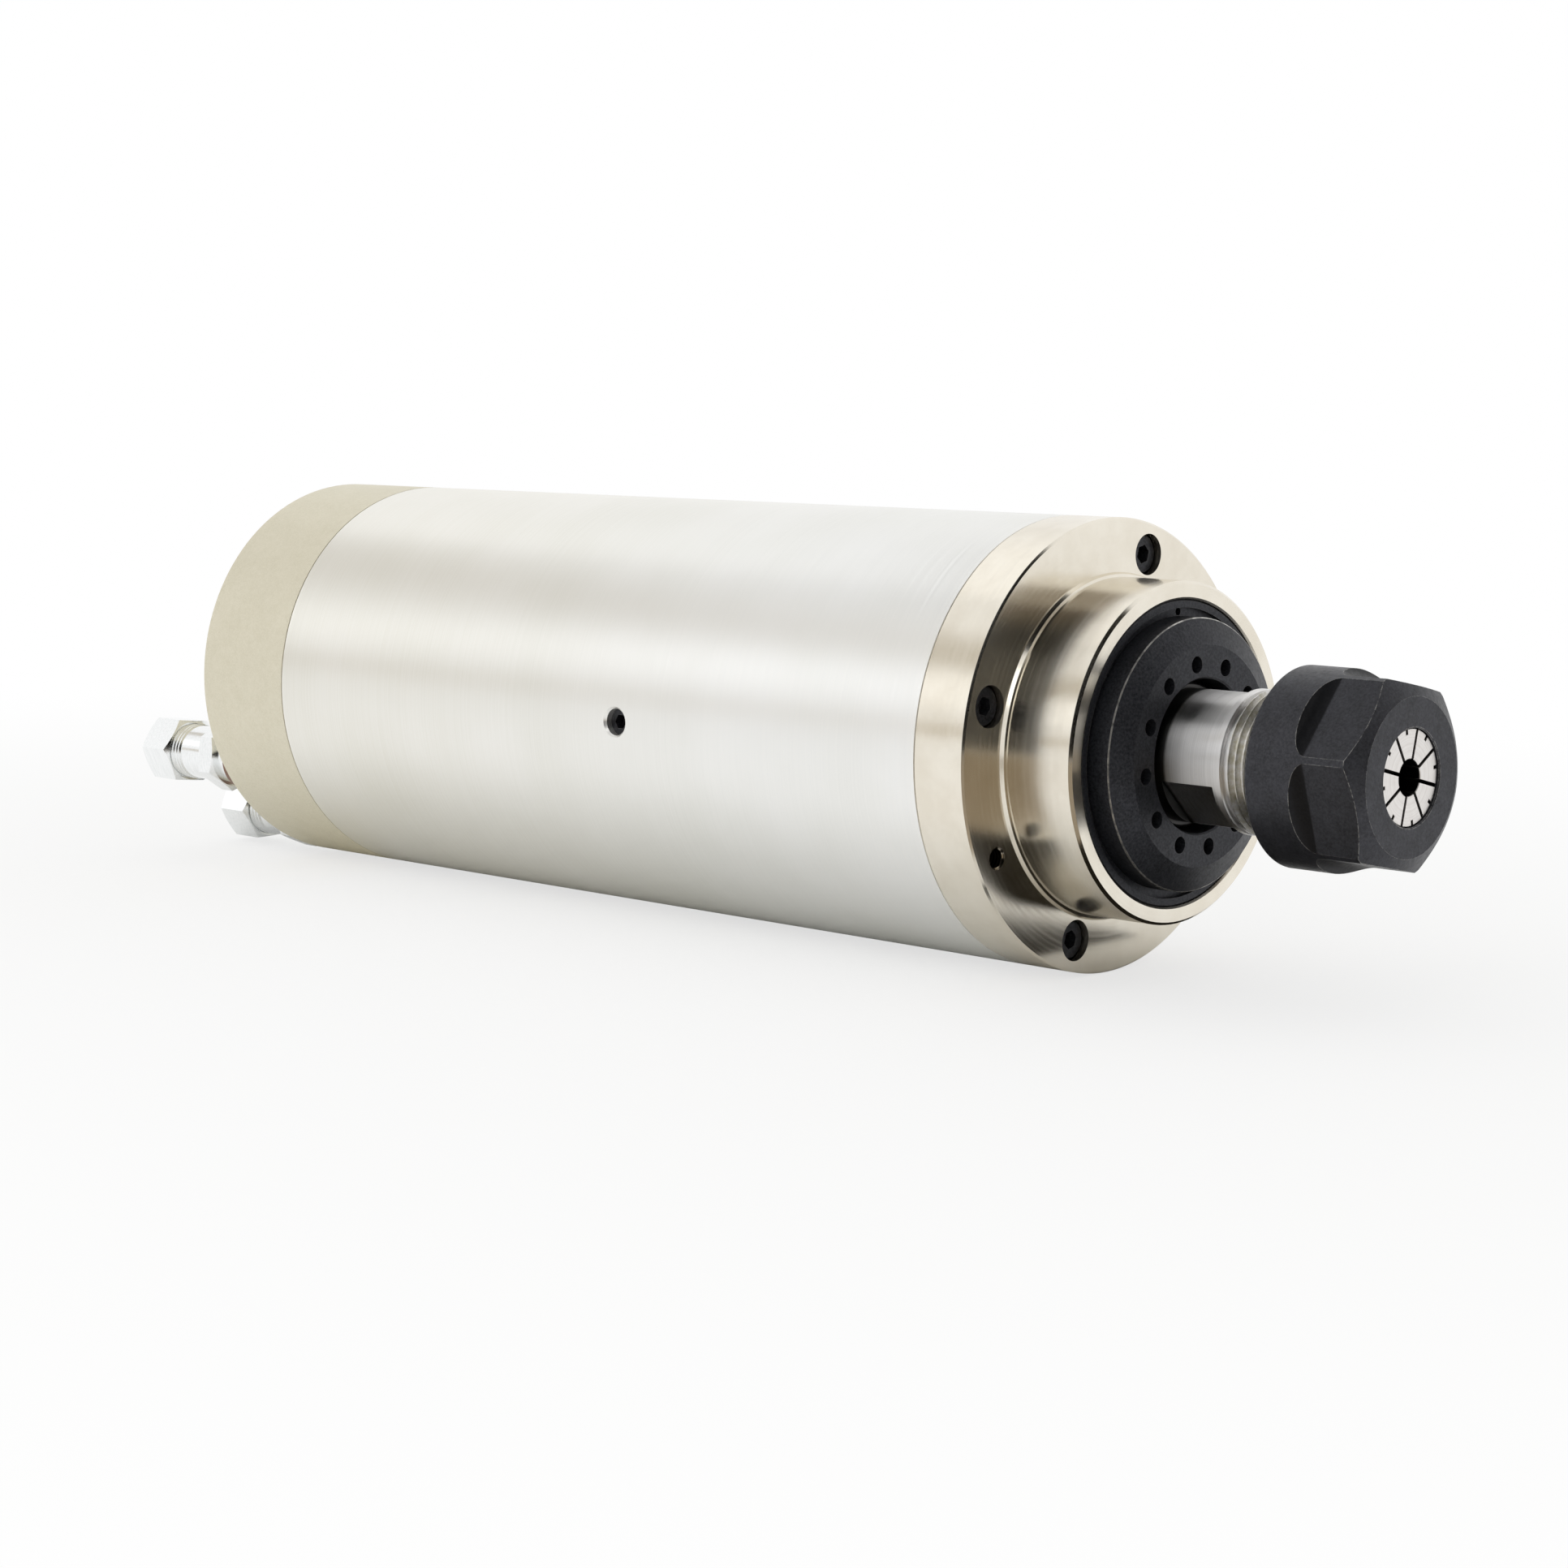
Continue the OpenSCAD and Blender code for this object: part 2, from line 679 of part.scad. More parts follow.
module rear_cap() {
    pocket_r = rear_pocket_r;
    r = body_r;
    round_r = 1;
    arc = [for (a = [0 : 15 : 90]) [r - round_r + round_r * cos(a), cap_rear + round_r - round_r * sin(a)]];
    color("#CFC9B8") difference() {
        turned(concat(
            [[0, cavity_x], [cavity_r, cavity_x], [cavity_r, seat_rear], [pocket_r, seat_rear],
            [pocket_r, tube_rear], [r - seam_depth, tube_rear], [r, tube_rear - seam_width]],
            arc, [[0, cap_rear]]
        ));
        for (angle = [inlet_angle, outlet_angle]) {
            at(angle, port_pcr, cap_rear - 1) cylinder(r = port_thread_r, h = port_thread_depth + 1);
            at(angle, port_pcr, cap_rear - 1) cylinder(r = water_bore / 2, h = cap_length + 2);
            at(angle, port_pcr, tube_rear - 2 * port_ring_section)
                cylinder(r = port_ring_r + port_ring_section + 0.1, h = 2);
        }
        spread(4, cap_screw_angle, screw_pcr, cap_rear - 1) cylinder(r = clearance_r, h = cap_length + 2);
        spread(4, cap_screw_angle, screw_pcr, cap_rear - 1)
            cylinder(r = counterbore_r, h = m4_head_h + head_recess + 1);
        at(connector_angle, connector_pcr, cap_rear - 1) cylinder(r = connector_r + 0.1, h = 20);
        at(connector_angle, connector_pcr, cap_rear + connector_wall)
            cylinder(r = connector_nut_r + 0.5, h = 20);
    }
}

module rear_cap_screws() {
    color("#26272A") spread(4, cap_screw_angle, screw_pcr, cap_rear + head_recess) rotate([180, 0, 0])
        cap_screw(cap_length - head_recess - m4_head_h + screw_grip);
}

module port_o_rings() {
    color("#202124") for (angle = [inlet_angle, outlet_angle])
        at(angle, port_pcr, tube_rear - port_ring_section) o_ring(port_ring_r, port_ring_section);
}

// Nickel-plated straight hose fitting: thread, hexagon, neck and thread for the hose nut
module hose_fitting(angle, turn) {
    turns = floor((hose_body_end - hose_neck_end) / hose_thread_pitch);
    root = hose_thread_r - 0.55;
    p = hose_thread_pitch;
    ridges = [for (k = [0 : turns - 1]) for (q = [[root, 0.1], [hose_thread_r, 0.4], [hose_thread_r, 0.6],
        [root, 0.9]]) [q[0], hose_neck_end + (k + q[1]) * p]];
    behind_cap(angle, port_pcr) difference() {
        union() {
            rotate_extrude(convexity = 6) polygon(concat(
                [[0, -7.6], [port_thread_r - 0.5 - seat_gap, -7.6], [port_thread_r - seat_gap, -7.1],
                [port_thread_r - seat_gap, washer_t],
                [fitting_collar_r, washer_t], [fitting_collar_r, hex_start],
                [hose_neck_r, hex_start], [hose_neck_r, hose_neck_end - 0.3], [root, hose_neck_end]],
                ridges, [[root, hose_body_end - 0.3], [root - 0.3, hose_body_end], [0, hose_body_end]]
            ));
            hexagon(hex_start, hex_end, fitting_hex, turn);
        }
        translate([0, 0, -9]) cylinder(r = 2, h = 40);
        translate([0, 0, hose_stop]) cylinder(r = hose_r + running_gap, h = 20);
        translate([0, 0, hose_body_end - 1]) cylinder(r1 = hose_r, r2 = hose_r + 1.4, h = 1.4);
    }
}

// Hexagon prism between two heights with its corners turned off at both ends
module hexagon(z0, z1, width, angle) {
    face_r = width / 2 - 0.15;
    wide_r = hex_r(width) + 0.5;
    cone = 0.58 * (wide_r - face_r);
    intersection() {
        rotate([0, 0, angle]) translate([0, 0, z0]) cylinder(r = hex_r(width), h = z1 - z0, $fn = 6);
        rotate_extrude() polygon([
            [0, z0], [face_r, z0], [wide_r, z0 + cone], [wide_r, z1 - cone], [face_r, z1], [0, z1]
        ]);
    }
}

module hose_nut(angle, turn) {
    behind_cap(angle, port_pcr) difference() {
        hexagon(hose_nut_start, hose_nut_end, fitting_hex, turn);
        translate([0, 0, hose_nut_start - 1])
            cylinder(r = hose_thread_r + running_gap, h = ferrule_end - hose_nut_start + 1);
        translate([0, 0, hose_nut_start - 1]) cylinder(r = hose_r + 0.15, h = 20);
    }
}

module hose_ferrule(angle) {
    behind_cap(angle, port_pcr) rotate_extrude() polygon([
        [hose_r + running_gap, ferrule_start], [hose_r + 1.2, ferrule_start],
        [hose_r + 2.3, ferrule_start + 1.1], [hose_r + 2.3, ferrule_end], [hose_r + running_gap, ferrule_end]
    ]);
}

module port_washer(angle) {
    behind_cap(angle, port_pcr) difference() {
        cylinder(r = 6.6, h = washer_t);
        translate([0, 0, -1]) cylinder(r = port_thread_r + seat_gap, h = washer_t + 2);
    }
}

module inlet_fitting() {
    color("#C9CDCE") hose_fitting(inlet_angle, inlet_hex_turn);
}

module inlet_washer() {
    color("#B87A4B") port_washer(inlet_angle);
}

module inlet_ferrule() {
    color("#C9A55A") hose_ferrule(inlet_angle);
}

module inlet_nut() {
    color("#D6DADA") hose_nut(inlet_angle, inlet_nut_turn);
}

module outlet_fitting() {
    color("#C9CDCE") hose_fitting(outlet_angle, outlet_hex_turn);
}

module outlet_washer() {
    color("#B87A4B") port_washer(outlet_angle);
}

module outlet_ferrule() {
    color("#C9A55A") hose_ferrule(outlet_angle);
}

module outlet_nut() {
    color("#D6DADA") hose_nut(outlet_angle, outlet_nut_turn);
}

module connector_shell() {
    color("#BFC3C6") behind_cap(connector_angle, connector_pcr) difference() {
        rotate_extrude(convexity = 6) polygon([
            [insert_r, -7], [connector_r, -7], [connector_r, 1], [connector_collar_r - 0.4, 1],
            [connector_collar_r, 1.4], [connector_collar_r, 2.6], [connector_collar_r - 0.4, 3],
            [connector_r, 3], [connector_r, connector_end - 0.6], [connector_r - 0.6, connector_end],
            [insert_r + 0.5, connector_end], [insert_r + 0.5, 4], [insert_r, 4]
        ]);
    }
}

module connector_insert() {
    color("#232426") behind_cap(connector_angle, connector_pcr) difference() {
        union() {
            translate([0, 0, -6.5]) cylinder(r = insert_r - seat_gap, h = 11);
            translate([0, 5.1, 4]) cylinder(r = 1.2, h = 5);
        }
        for (k = [0 : pin_count - 1]) rotate([0, 0, 45 + 90 * k]) translate([pin_circle_r, 0, -8])
            cylinder(r = pin_r + seat_gap, h = 20);
    }
}

module connector_pins() {
    color("#D2B25C") behind_cap(connector_angle, connector_pcr)
        for (k = [0 : pin_count - 1]) rotate([0, 0, 45 + 90 * k]) translate([pin_circle_r, 0, pin_end])
            cylinder(r = pin_r, h = 9 - pin_end);
}

module connector_nut() {
    color("#BFC3C6") behind_cap(connector_angle, connector_pcr) difference() {
        translate([0, 0, -connector_wall - 2.4]) cylinder(r = connector_nut_r, h = 2.4, $fn = 6);
        translate([0, 0, -20]) cylinder(r = connector_r + seat_gap, h = 30);
    }
}

module connector_gasket() {
    color("#1D1E20") behind_cap(connector_angle, connector_pcr) difference() {
        cylinder(r = connector_collar_r + 0.1, h = 1);
        translate([0, 0, -1]) cylinder(r = connector_r + seat_gap, h = 3);
    }
}

// Wire that runs rearwards through a list of points, as a tube of level rings
module wire(points, r) {
    sides = 10;
    rings = len(points);
    vertices = [for (p = points) for (k = [0 : sides - 1]) p + r * [cos(36 * k), sin(36 * k), 0]];
    walls = [for (i = [0 : rings - 2]) for (k = [0 : sides - 1])
        [i * sides + k, i * sides + (k + 1) % sides,
        (i + 1) * sides + (k + 1) % sides, (i + 1) * sides + k]];
    first = [for (k = [sides - 1 : -1 : 0]) k];
    last = [for (k = [0 : sides - 1]) (rings - 1) * sides + k];
    polyhedron(vertices, concat(walls, [first, last]), convexity = 4);
}

function pin_place(angle) = [connector_pcr + pin_circle_r * cos(angle), pin_circle_r * sin(angle)];

// Route of one lead to the back of the pin at the given angle about the connector's centre
function lead_end(angle) = let (p = pin_place(angle), back = cap_rear - pin_end)
    [[p[0], p[1], back + 4], [p[0], p[1], back]];

// Leads from the windings through the bearing seat to the backs of the connector pins
module phase_leads() {
    winding_end = core_rear - overhang;
    bend = seat_rear - 1;
    starts = [[-1.1, -1.3], [1.1, -1.3], [0, 1.5]];
    pins = [225, 315, 135];
    color("#A33A2C") at(connector_angle, 0, 0) for (k = [0 : 2]) {
        y = lead_pcr + starts[k][0];
        z = starts[k][1];
        wire(concat([[y, z, winding_end], [y, z, bend]], lead_end(pins[k])), lead_r);
    }
}

// Green and yellow lead from the earth screw to the fourth pin
module earth_lead() {
    lug = earth_pcr * [cos(earth_angle), sin(earth_angle)];
    root = lug + [-1.2, -4.6];
    lug_x = seat_rear - 1;
    color("#7C8A2E") at(connector_angle, 0, 0) {
        translate([lug[0], lug[1], lug_x]) difference() {
            union() {
                cylinder(r = 3, h = 1);
                translate([-2.4, -6, 0]) cube([2.4, 5, 1]);
            }
            translate([0, 0, -1]) cylinder(r = 1.55, h = 3);
        }
        wire(concat([[root[0], root[1], lug_x], [root[0], root[1], lug_x - 2]], lead_end(45)), lead_r);
    }
}

module earth_screw() {
    color("#C9A24A") at(connector_angle + earth_angle, earth_pcr, seat_rear - 1)
        rotate([180, 0, 0]) rotate_extrude()
            polygon([[0, -7], [1.46, -7], [1.46, 0], [2.8, 0], [2.8, 1], [2.2, 1.8], [0, 1.8]]);
}

// Shaft with a taper socket for the collet, two spanner flats and the thread for the nut
module shaft() {
    neck_r = neck_d / 2;
    crest = thread_d / 2;
    root = crest - thread_depth;
    turns = floor((thread_end - thread_x) / thread_pitch);
    ridge = [[root, 0.08], [crest, 0.4], [crest, 0.5], [root, 0.82]];
    ridges = [for (k = [0 : turns - 1]) for (q = ridge) [q[0], thread_x + (k + q[1]) * thread_pitch]];
    taper_r = collet_r - (taper_start - shaft_front) * tan(taper_angle) + seat_gap;
    taper_end = collet_face - collet_length - 1.2;
    taper_end_r = taper_r - (shaft_front - taper_end) * tan(taper_angle);
    color("#D3D3D1") difference() {
        turned(concat(
            [[0, shaft_rear], [6.8, shaft_rear], [7.3, shaft_rear + 0.5], [7.3, seat_rear - 1],
            [rear_bore_r, seat_rear - 0.8], [rear_bore_r, spring_x], [9.6, spring_x], [9.6, spring_x + 5],
            [rotor_bore_r - 2, spring_x + 7], [rotor_bore_r - 2, core_rear - 8],
            [rotor_bore_r, core_rear - 7], [rotor_bore_r, core_front],
            [shaft_step_r, core_front], [shaft_step_r, shaft_step_x], [13.6, shaft_step_x + 2],
            [13.6, collar_x - 1],
            [collar_r, collar_x], [collar_r, front_a_x],
            [front_bore_r, front_a_x], [front_bore_r, neck_x - 0.4],
            [front_bore_r - 0.4, neck_x], [neck_r, neck_x], [neck_r, shoulder_x - 0.5],
            [shoulder_r, shoulder_x + 0.1], [shoulder_r, relief_x - 0.2], [shoulder_r - 0.2, relief_x],
            [root, relief_x], [root, thread_x]],
            ridges,
            [[root, thread_end], [root, shaft_front - 0.5], [root - 0.4, shaft_front],
            [taper_r, shaft_front], [taper_end_r, taper_end],
            [6, taper_end], [6, bore_rear], [0, bore_rear - 3.5]]
        ));
        for (side = [0, 180]) at(flat_angle + side, neck_flats / 2, flat_start)
            translate([0, -15, 0]) cube([10, 30, flat_end - flat_start]);
        at(0, 0, shaft_rear - 1) cylinder(r = 1.6, h = 8);
    }
}

module rotor_core() {
    color("#6B6E72") difference() {
        band(core_rear, core_front, rotor_bore_r + seat_gap, rotor_r);
        spread(bar_count, 0, bar_circle_r, core_rear - 1)
            cylinder(r = bar_r + seat_gap, h = core_length + 2);
    }
}

// Cast cage: the bars through the core and a short-circuit ring with balancing pegs at each end
module rotor_cage() {
    outer = rotor_r - 0.3;
    color("#C2C5C8") {
        spread(bar_count, 0, bar_circle_r, core_rear - 1) cylinder(r = bar_r, h = core_length + 2);
        band(core_front, core_front + end_ring_length, end_ring_in_r, outer);
        band(core_rear - end_ring_length, core_rear, end_ring_in_r, outer);
        spread(6, 15, bar_circle_r, core_front + end_ring_length - 0.5)
            cylinder(r = 1.5, h = balance_peg + 0.5);
        spread(6, 15, bar_circle_r, core_rear - end_ring_length - balance_peg)
            cylinder(r = 1.5, h = balance_peg + 0.5);
    }
}

// Taper collet, slotted from both ends by turns so that its jaws close evenly
module collet() {
    rear = collet_face - collet_length;
    rear_taper = rear + 2;
    rear_taper_r = collet_r - (taper_start - rear_taper) * tan(taper_angle);
    slot_angle = 360 / collet_jaws;
    reach = collet_length - 6;
    color("#D9D6D2") difference() {
        turned([
            [collet_bore / 2, rear], [rear_taper_r - 0.6, rear], [rear_taper_r, rear_taper],
            [collet_r, taper_start], [collet_r, taper_start + 0.5], [8.75, taper_start + 1.5],
            [8.75, collet_face - 2.9], [9.6, collet_face - 2.9], [7.93, collet_face],
            [collet_bore / 2 + 0.2, collet_face], [collet_bore / 2, collet_face - 0.2]
        ]);
        spread(collet_jaws, jaw_angle, 0, collet_face - reach)
            translate([0, -jaw_slot / 2, 0]) cube([20, jaw_slot, reach + 1]);
        spread(collet_jaws, jaw_angle + slot_angle / 2, 0, rear - 1)
            translate([0, -jaw_slot / 2, 0]) cube([20, jaw_slot, reach]);
        spread(collet_jaws, jaw_angle + slot_angle / 2, 7.1, rear + reach - 2)
            translate([0, -jaw_slot / 2, 0]) cube([5, jaw_slot, 12]);
    }
}

// Collet nut: round collar, milled hexagon with curved run-outs, and an eccentric lip for the collet
module collet_nut() {
    r = nut_d / 2;
    thread_r = thread_d / 2 + running_gap;
    cone_x = collet_face - 2.9;
    cone_r = 9.6 + running_gap;
    front_r = nut_opening_r;
    color("#3A3B3F") difference() {
        turned([
            [thread_r + 0.4, nut_x], [r - 0.5, nut_x], [r, nut_x + 0.5], [r, nut_front - 2.1],
            [nut_face_r, nut_front], [front_r + 0.2, nut_front], [front_r, nut_front - 0.2],
            [front_r, collet_face - 0.25], [cone_r + 0.2, cone_x + 0.05], [cone_r + 0.2, cone_x - 0.2],
            [9, cone_x - 0.2], [9, taper_start + 1.75], [collet_r + 0.4, taper_start + 1.2],
            [collet_r + 0.4, shaft_front + 0.6], [thread_r, shaft_front + 0.6], [thread_r, nut_x + 0.4]
        ]);
        translate([0, 0.3, 0]) band(taper_start + 1, cone_x + 0.1, 0, 9.35);
        for (k = [0 : 5]) at(hex_angle + 60 * k, nut_hex / 2, hex_x) {
            translate([0, -15, 0]) cube([10, 30, 20]);
            translate([cutter_r, 0, 0]) rotate([90, 0, 0]) cylinder(r = cutter_r, h = 30, center = true);
            translate([cutter_r, -15, -cutter_r]) cube([10, 30, 2 * cutter_r]);
        }
    }
}

body_tube();
water_jacket();
jacket_o_rings();
front_flange();
flange_o_ring();
flange_screws();
gland_nut();
gland_felt_ring();
front_lock_nut();
front_bearing_a_outer_ring();
front_bearing_a_inner_ring();
front_bearing_a_balls();
front_bearing_a_cage();
front_bearing_b_outer_ring();
front_bearing_b_inner_ring();
front_bearing_b_balls();
front_bearing_b_cage();
bearing_spacer_outer();
bearing_spacer_inner();
stator_core();
stator_windings();
slot_wedges();
stator_lock_screw();
rear_bearing_seat();
wave_spring();
rear_bearing_a_outer_ring();
rear_bearing_a_inner_ring();
rear_bearing_a_balls();
rear_bearing_a_cage();
rear_bearing_b_outer_ring();
rear_bearing_b_inner_ring();
rear_bearing_b_balls();
rear_bearing_b_cage();
rear_lock_nut();
rear_cap();
rear_cap_screws();
port_o_rings();
inlet_fitting();
inlet_washer();
inlet_ferrule();
inlet_nut();
outlet_fitting();
outlet_washer();
outlet_ferrule();
outlet_nut();
connector_shell();
connector_insert();
connector_pins();
connector_nut();
connector_gasket();
phase_leads();
earth_lead();
earth_screw();
shaft();
rotor_core();
rotor_cage();
collet();
collet_nut();
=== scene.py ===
# %% [markdown]
# # A water-cooled motor spindle
# The spindle lies on a pale table with its nose to the right. Its solids come from the CAD part as
# a fixed frame, so this script never moves them: it gives them finishes, in which the fine marks
# of turning, grinding and tapping are drawn, and sets the light and the camera.

# %% Load the frame
import json
import math

import bmesh
import bpy
from mathutils import Matrix, Vector

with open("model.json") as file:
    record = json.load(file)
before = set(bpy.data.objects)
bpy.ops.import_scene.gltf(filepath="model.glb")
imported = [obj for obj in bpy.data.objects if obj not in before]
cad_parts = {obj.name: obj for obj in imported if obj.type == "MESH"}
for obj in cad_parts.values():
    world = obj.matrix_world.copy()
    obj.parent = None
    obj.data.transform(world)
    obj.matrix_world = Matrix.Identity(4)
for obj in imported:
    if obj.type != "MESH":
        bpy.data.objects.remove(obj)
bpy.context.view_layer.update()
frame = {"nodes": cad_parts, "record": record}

solids = frame["nodes"]

# %% [markdown]
# ## Measures
# The spindle axis is the X axis. A station is a distance along it from the seam between the body
# tube and the front flange, in millimetres, as a turner would give it. Blender works in metres.

# %% Measures
MM = 0.001
MICRON = 1e-6
SEAM_MM = 86.5  # the seam lies this far in front of the origin
BODY_R = 40 * MM


def station(mm):
    """X of a station that is given in millimetres from the seam."""
    return (SEAM_MM + mm) * MM


print("nose face at", round(station(25.4), 4), "m")

# %% [markdown]
# ## Camera
# The photograph was taken from low on the nose side, with a long lens. Fitting the circles of the
# tube, flange and nose to the picture gave the viewing point and three directions: to the right of
# the picture, up in it, and back towards the camera. They are the columns of the camera's matrix.

# %% Camera
PHOTO_WIDTH, FOCAL_LENGTH = 1932, 4000.7  # both in pixels of the photograph
SENSOR_MM = 36.0
photo_right = Vector((0.7212, 0.6927, 0.0))
photo_up = Vector((-0.0907, 0.0944, 0.9914))
photo_back = Vector((0.6868, -0.7150, 0.1310))
photo_eye = Vector((0.44622, -0.44603, 0.06784))

camera_data = bpy.data.cameras.new("photo_camera")
camera_data.sensor_width = SENSOR_MM
camera_data.lens = SENSOR_MM * FOCAL_LENGTH / PHOTO_WIDTH
camera_data.clip_start, camera_data.clip_end = 0.01, 50.0
camera = bpy.data.objects.new("photo_camera", camera_data)
camera.matrix_world = Matrix.Translation(photo_eye) @ Matrix(
    (photo_right, photo_up, photo_back)).transposed().to_4x4()
bpy.context.scene.collection.objects.link(camera)
bpy.context.scene.camera = camera
print("lens", round(camera_data.lens, 1), "mm, eye", [round(c, 3) for c in photo_eye])

# %% [markdown]
# ## Helpers for shaders
# Colours are written as the sRGB hex codes that a colour picker gives, and one function turns them
# into the linear numbers that sockets take. Another adds a node with its settings and its inputs,
# so that a shader reads from top to bottom as a list of steps. Two settings come back often, and
# the sockets of a node that mixes colours have only numbers, so these get names.

# %% Shader helpers
RGBA = {"data_type": "RGBA"}
ROUND_X = {"direction_type": "RADIAL", "axis": "X"}
FACTOR, A, B = 0, 6, 7  # inputs of a Mix node for colours
MIXED = 2  # its output


def colour(code):
    """Linear RGBA of an sRGB hex colour."""
    parts = [int(code[i:i + 2], 16) / 255 for i in (0, 2, 4)]
    return (*[c / 12.92 if c <= 0.04045 else ((c + 0.055) / 1.055) ** 2.4 for c in parts], 1.0)


def add(tree, kind, settings=None, inputs=None, to=None):
    """Adds a shader node. Each input is a plain value or the socket that feeds it, and to is the
    socket that the node's result goes to."""
    node = tree.nodes.new("ShaderNode" + kind)
    for name, value in (settings or {}).items():
        setattr(node, name, value)
    for key, value in (inputs or {}).items():
        if isinstance(value, bpy.types.NodeSocket):
            tree.links.new(value, node.inputs[key])
        else:
            node.inputs[key].default_value = value
    if to:
        tree.links.new(next(out for out in node.outputs if out.enabled), to)
    return node


print("paper white is", [round(c, 3) for c in colour("F4F4F4")[:3]])

# %% [markdown]
# ## Background
# The photograph has a pure white background. The world is white wherever the camera, a mirror
# finish or glass looks at it, and softer for the light that it sheds, so that the object isn't
# washed out. Light Path tells the two apart.

# %% World
world = bpy.data.worlds.new("studio_world")
bpy.context.scene.world = world
world.use_nodes = True
sky = world.node_tree
sky.nodes.clear()
path = add(sky, "LightPath")
seen = add(sky, "Math", {"operation": "MAXIMUM"},
           {0: path.outputs["Is Camera Ray"], 1: path.outputs["Is Glossy Ray"]})
seen = add(sky, "Math", {"operation": "MAXIMUM"},
           {0: seen.outputs[0], 1: path.outputs["Is Transmission Ray"]})
glow = add(sky, "MapRange", None, {"Value": seen.outputs[0], "To Min": 0.85, "To Max": 1.0})
white = add(sky, "Background", None, {"Color": colour("FFFFFF"), "Strength": glow.outputs[0]})
add(sky, "OutputWorld", None, {"Surface": white.outputs[0]})
bpy.context.scene.view_settings.view_transform = "Standard"
print("world ready")

# %% [markdown]
# ## Table
# The table is a large round sheet under the spindle, a matte white board. Further out its white
# comes from emission, so that it runs into the white background without a line. Close to the
# spindle it is lit like anything else, which keeps the soft shadow. The tube mirrors the table, so
# the same falling off shades the tube's underside. Distance is measured from the tube's footprint.

# %% Table
TABLE_Z = -BODY_R - 0.1 * MM  # a hair under the tube, so that the two don't cut each other
bm = bmesh.new()
bmesh.ops.create_circle(bm, cap_ends=True, segments=96, radius=6.0,
                        matrix=Matrix.Translation((0, 0, TABLE_Z)))
table_mesh = bpy.data.meshes.new("table")
bm.to_mesh(table_mesh)
bm.free()
table = bpy.data.objects.new("table", table_mesh)
bpy.context.scene.collection.objects.link(table)
print("table at", round(TABLE_Z, 4), "m")

# %% White board
FOOT_HALF = 0.10  # half the length of the line under the tube from which distance is measured
board = bpy.data.materials.new("white_board")
board.use_nodes = True
tree = board.node_tree
tree.nodes.clear()
where = add(tree, "SeparateXYZ", None, {0: add(tree, "TexCoord").outputs["Object"]})
beyond = add(tree, "Math", {"operation": "ABSOLUTE"}, {0: where.outputs[0]})
beyond = add(tree, "Math", {"operation": "SUBTRACT"}, {0: beyond.outputs[0], 1: FOOT_HALF})
beyond = add(tree, "Math", {"operation": "MAXIMUM"}, {0: beyond.outputs[0], 1: 0.0})
flat = add(tree, "CombineXYZ", None, {0: beyond.outputs[0], 1: where.outputs[1]})
away = add(tree, "VectorMath", {"operation": "LENGTH"}, {0: flat.outputs[0]}).outputs["Value"]
seen_share = add(tree, "MapRange", {"interpolation_type": "SMOOTHSTEP"},
                 {"Value": away, "From Min": 0.02, "From Max": 0.40,
                  "To Min": 0.68, "To Max": 1.0})
mirror_share = add(tree, "MapRange", {"interpolation_type": "SMOOTHSTEP"},
                   {"Value": away, "From Min": 0.018, "From Max": 0.095,
                    "To Min": 0.0, "To Max": 0.96})
path = add(tree, "LightPath")
seen = add(tree, "Math", {"operation": "MULTIPLY"},
           {0: seen_share.outputs[0], 1: path.outputs["Is Camera Ray"]})
mirror = add(tree, "Math", {"operation": "MAXIMUM"},
             {0: path.outputs["Is Glossy Ray"], 1: path.outputs["Is Transmission Ray"]})
mirror = add(tree, "Math", {"operation": "MULTIPLY"},
             {0: mirror_share.outputs[0], 1: mirror.outputs[0]})
share = add(tree, "Math", {"operation": "MAXIMUM"}, {0: seen.outputs[0], 1: mirror.outputs[0]})
matte = add(tree, "BsdfDiffuse", None, {"Color": colour("F2F2F0")})
lit = add(tree, "Emission", None, {"Color": colour("FFFFFF"), "Strength": 1.0})
both = add(tree, "MixShader", None, {0: share.outputs[0], 1: matte.outputs[0], 2: lit.outputs[0]})
add(tree, "OutputMaterial", None, {"Surface": both.outputs[0]})
table.data.materials.append(board)
print("board ready")

# %% [markdown]
# ## Lamps and cards
# A photographer lights metal with broad softboxes and stands grey and dark cards beside them: the
# metal shows the boxes as soft bright bands and the cards as darker ones. The boxes here are area
# lamps that add a little to the white room behind them, the front one more. The cards are plain
# sheets that only mirror-like rays can see, so they neither shade the table nor show in the
# picture. The small dark sheet under the nose is a painted shadow: the nose's contact shadow on the
# table, as the flange and the nose mirror it.

# %% Softboxes


def aim(obj, place, target):
    """Sets obj at place, with its -Z axis towards target."""
    obj.location = place
    obj.rotation_euler = (Vector(target) - Vector(place)).to_track_quat("-Z", "Y").to_euler()


def softbox(name, place, width, height, radiance):
    """An area lamp of a softbox's size, aimed at the spindle. Its radiance gives its power."""
    lamp = bpy.data.lights.new(name, "AREA")
    lamp.shape = "RECTANGLE"
    lamp.size, lamp.size_y = width, height
    lamp.energy = radiance * math.pi * width * height
    obj = bpy.data.objects.new(name, lamp)
    aim(obj, place, (0, 0, 0))
    bpy.context.scene.collection.objects.link(obj)
    print(name, round(lamp.energy, 2), "W")


softbox("softbox_above", (-0.30, 0.30, 1.00), 1.3, 0.9, 0.16)
softbox("softbox_left", (-0.75, -0.72, 0.42), 0.9, 0.26, 0.18)
softbox("softbox_front", (0.35, -0.95, 0.75), 0.7, 0.5, 0.9)

# %% Cards


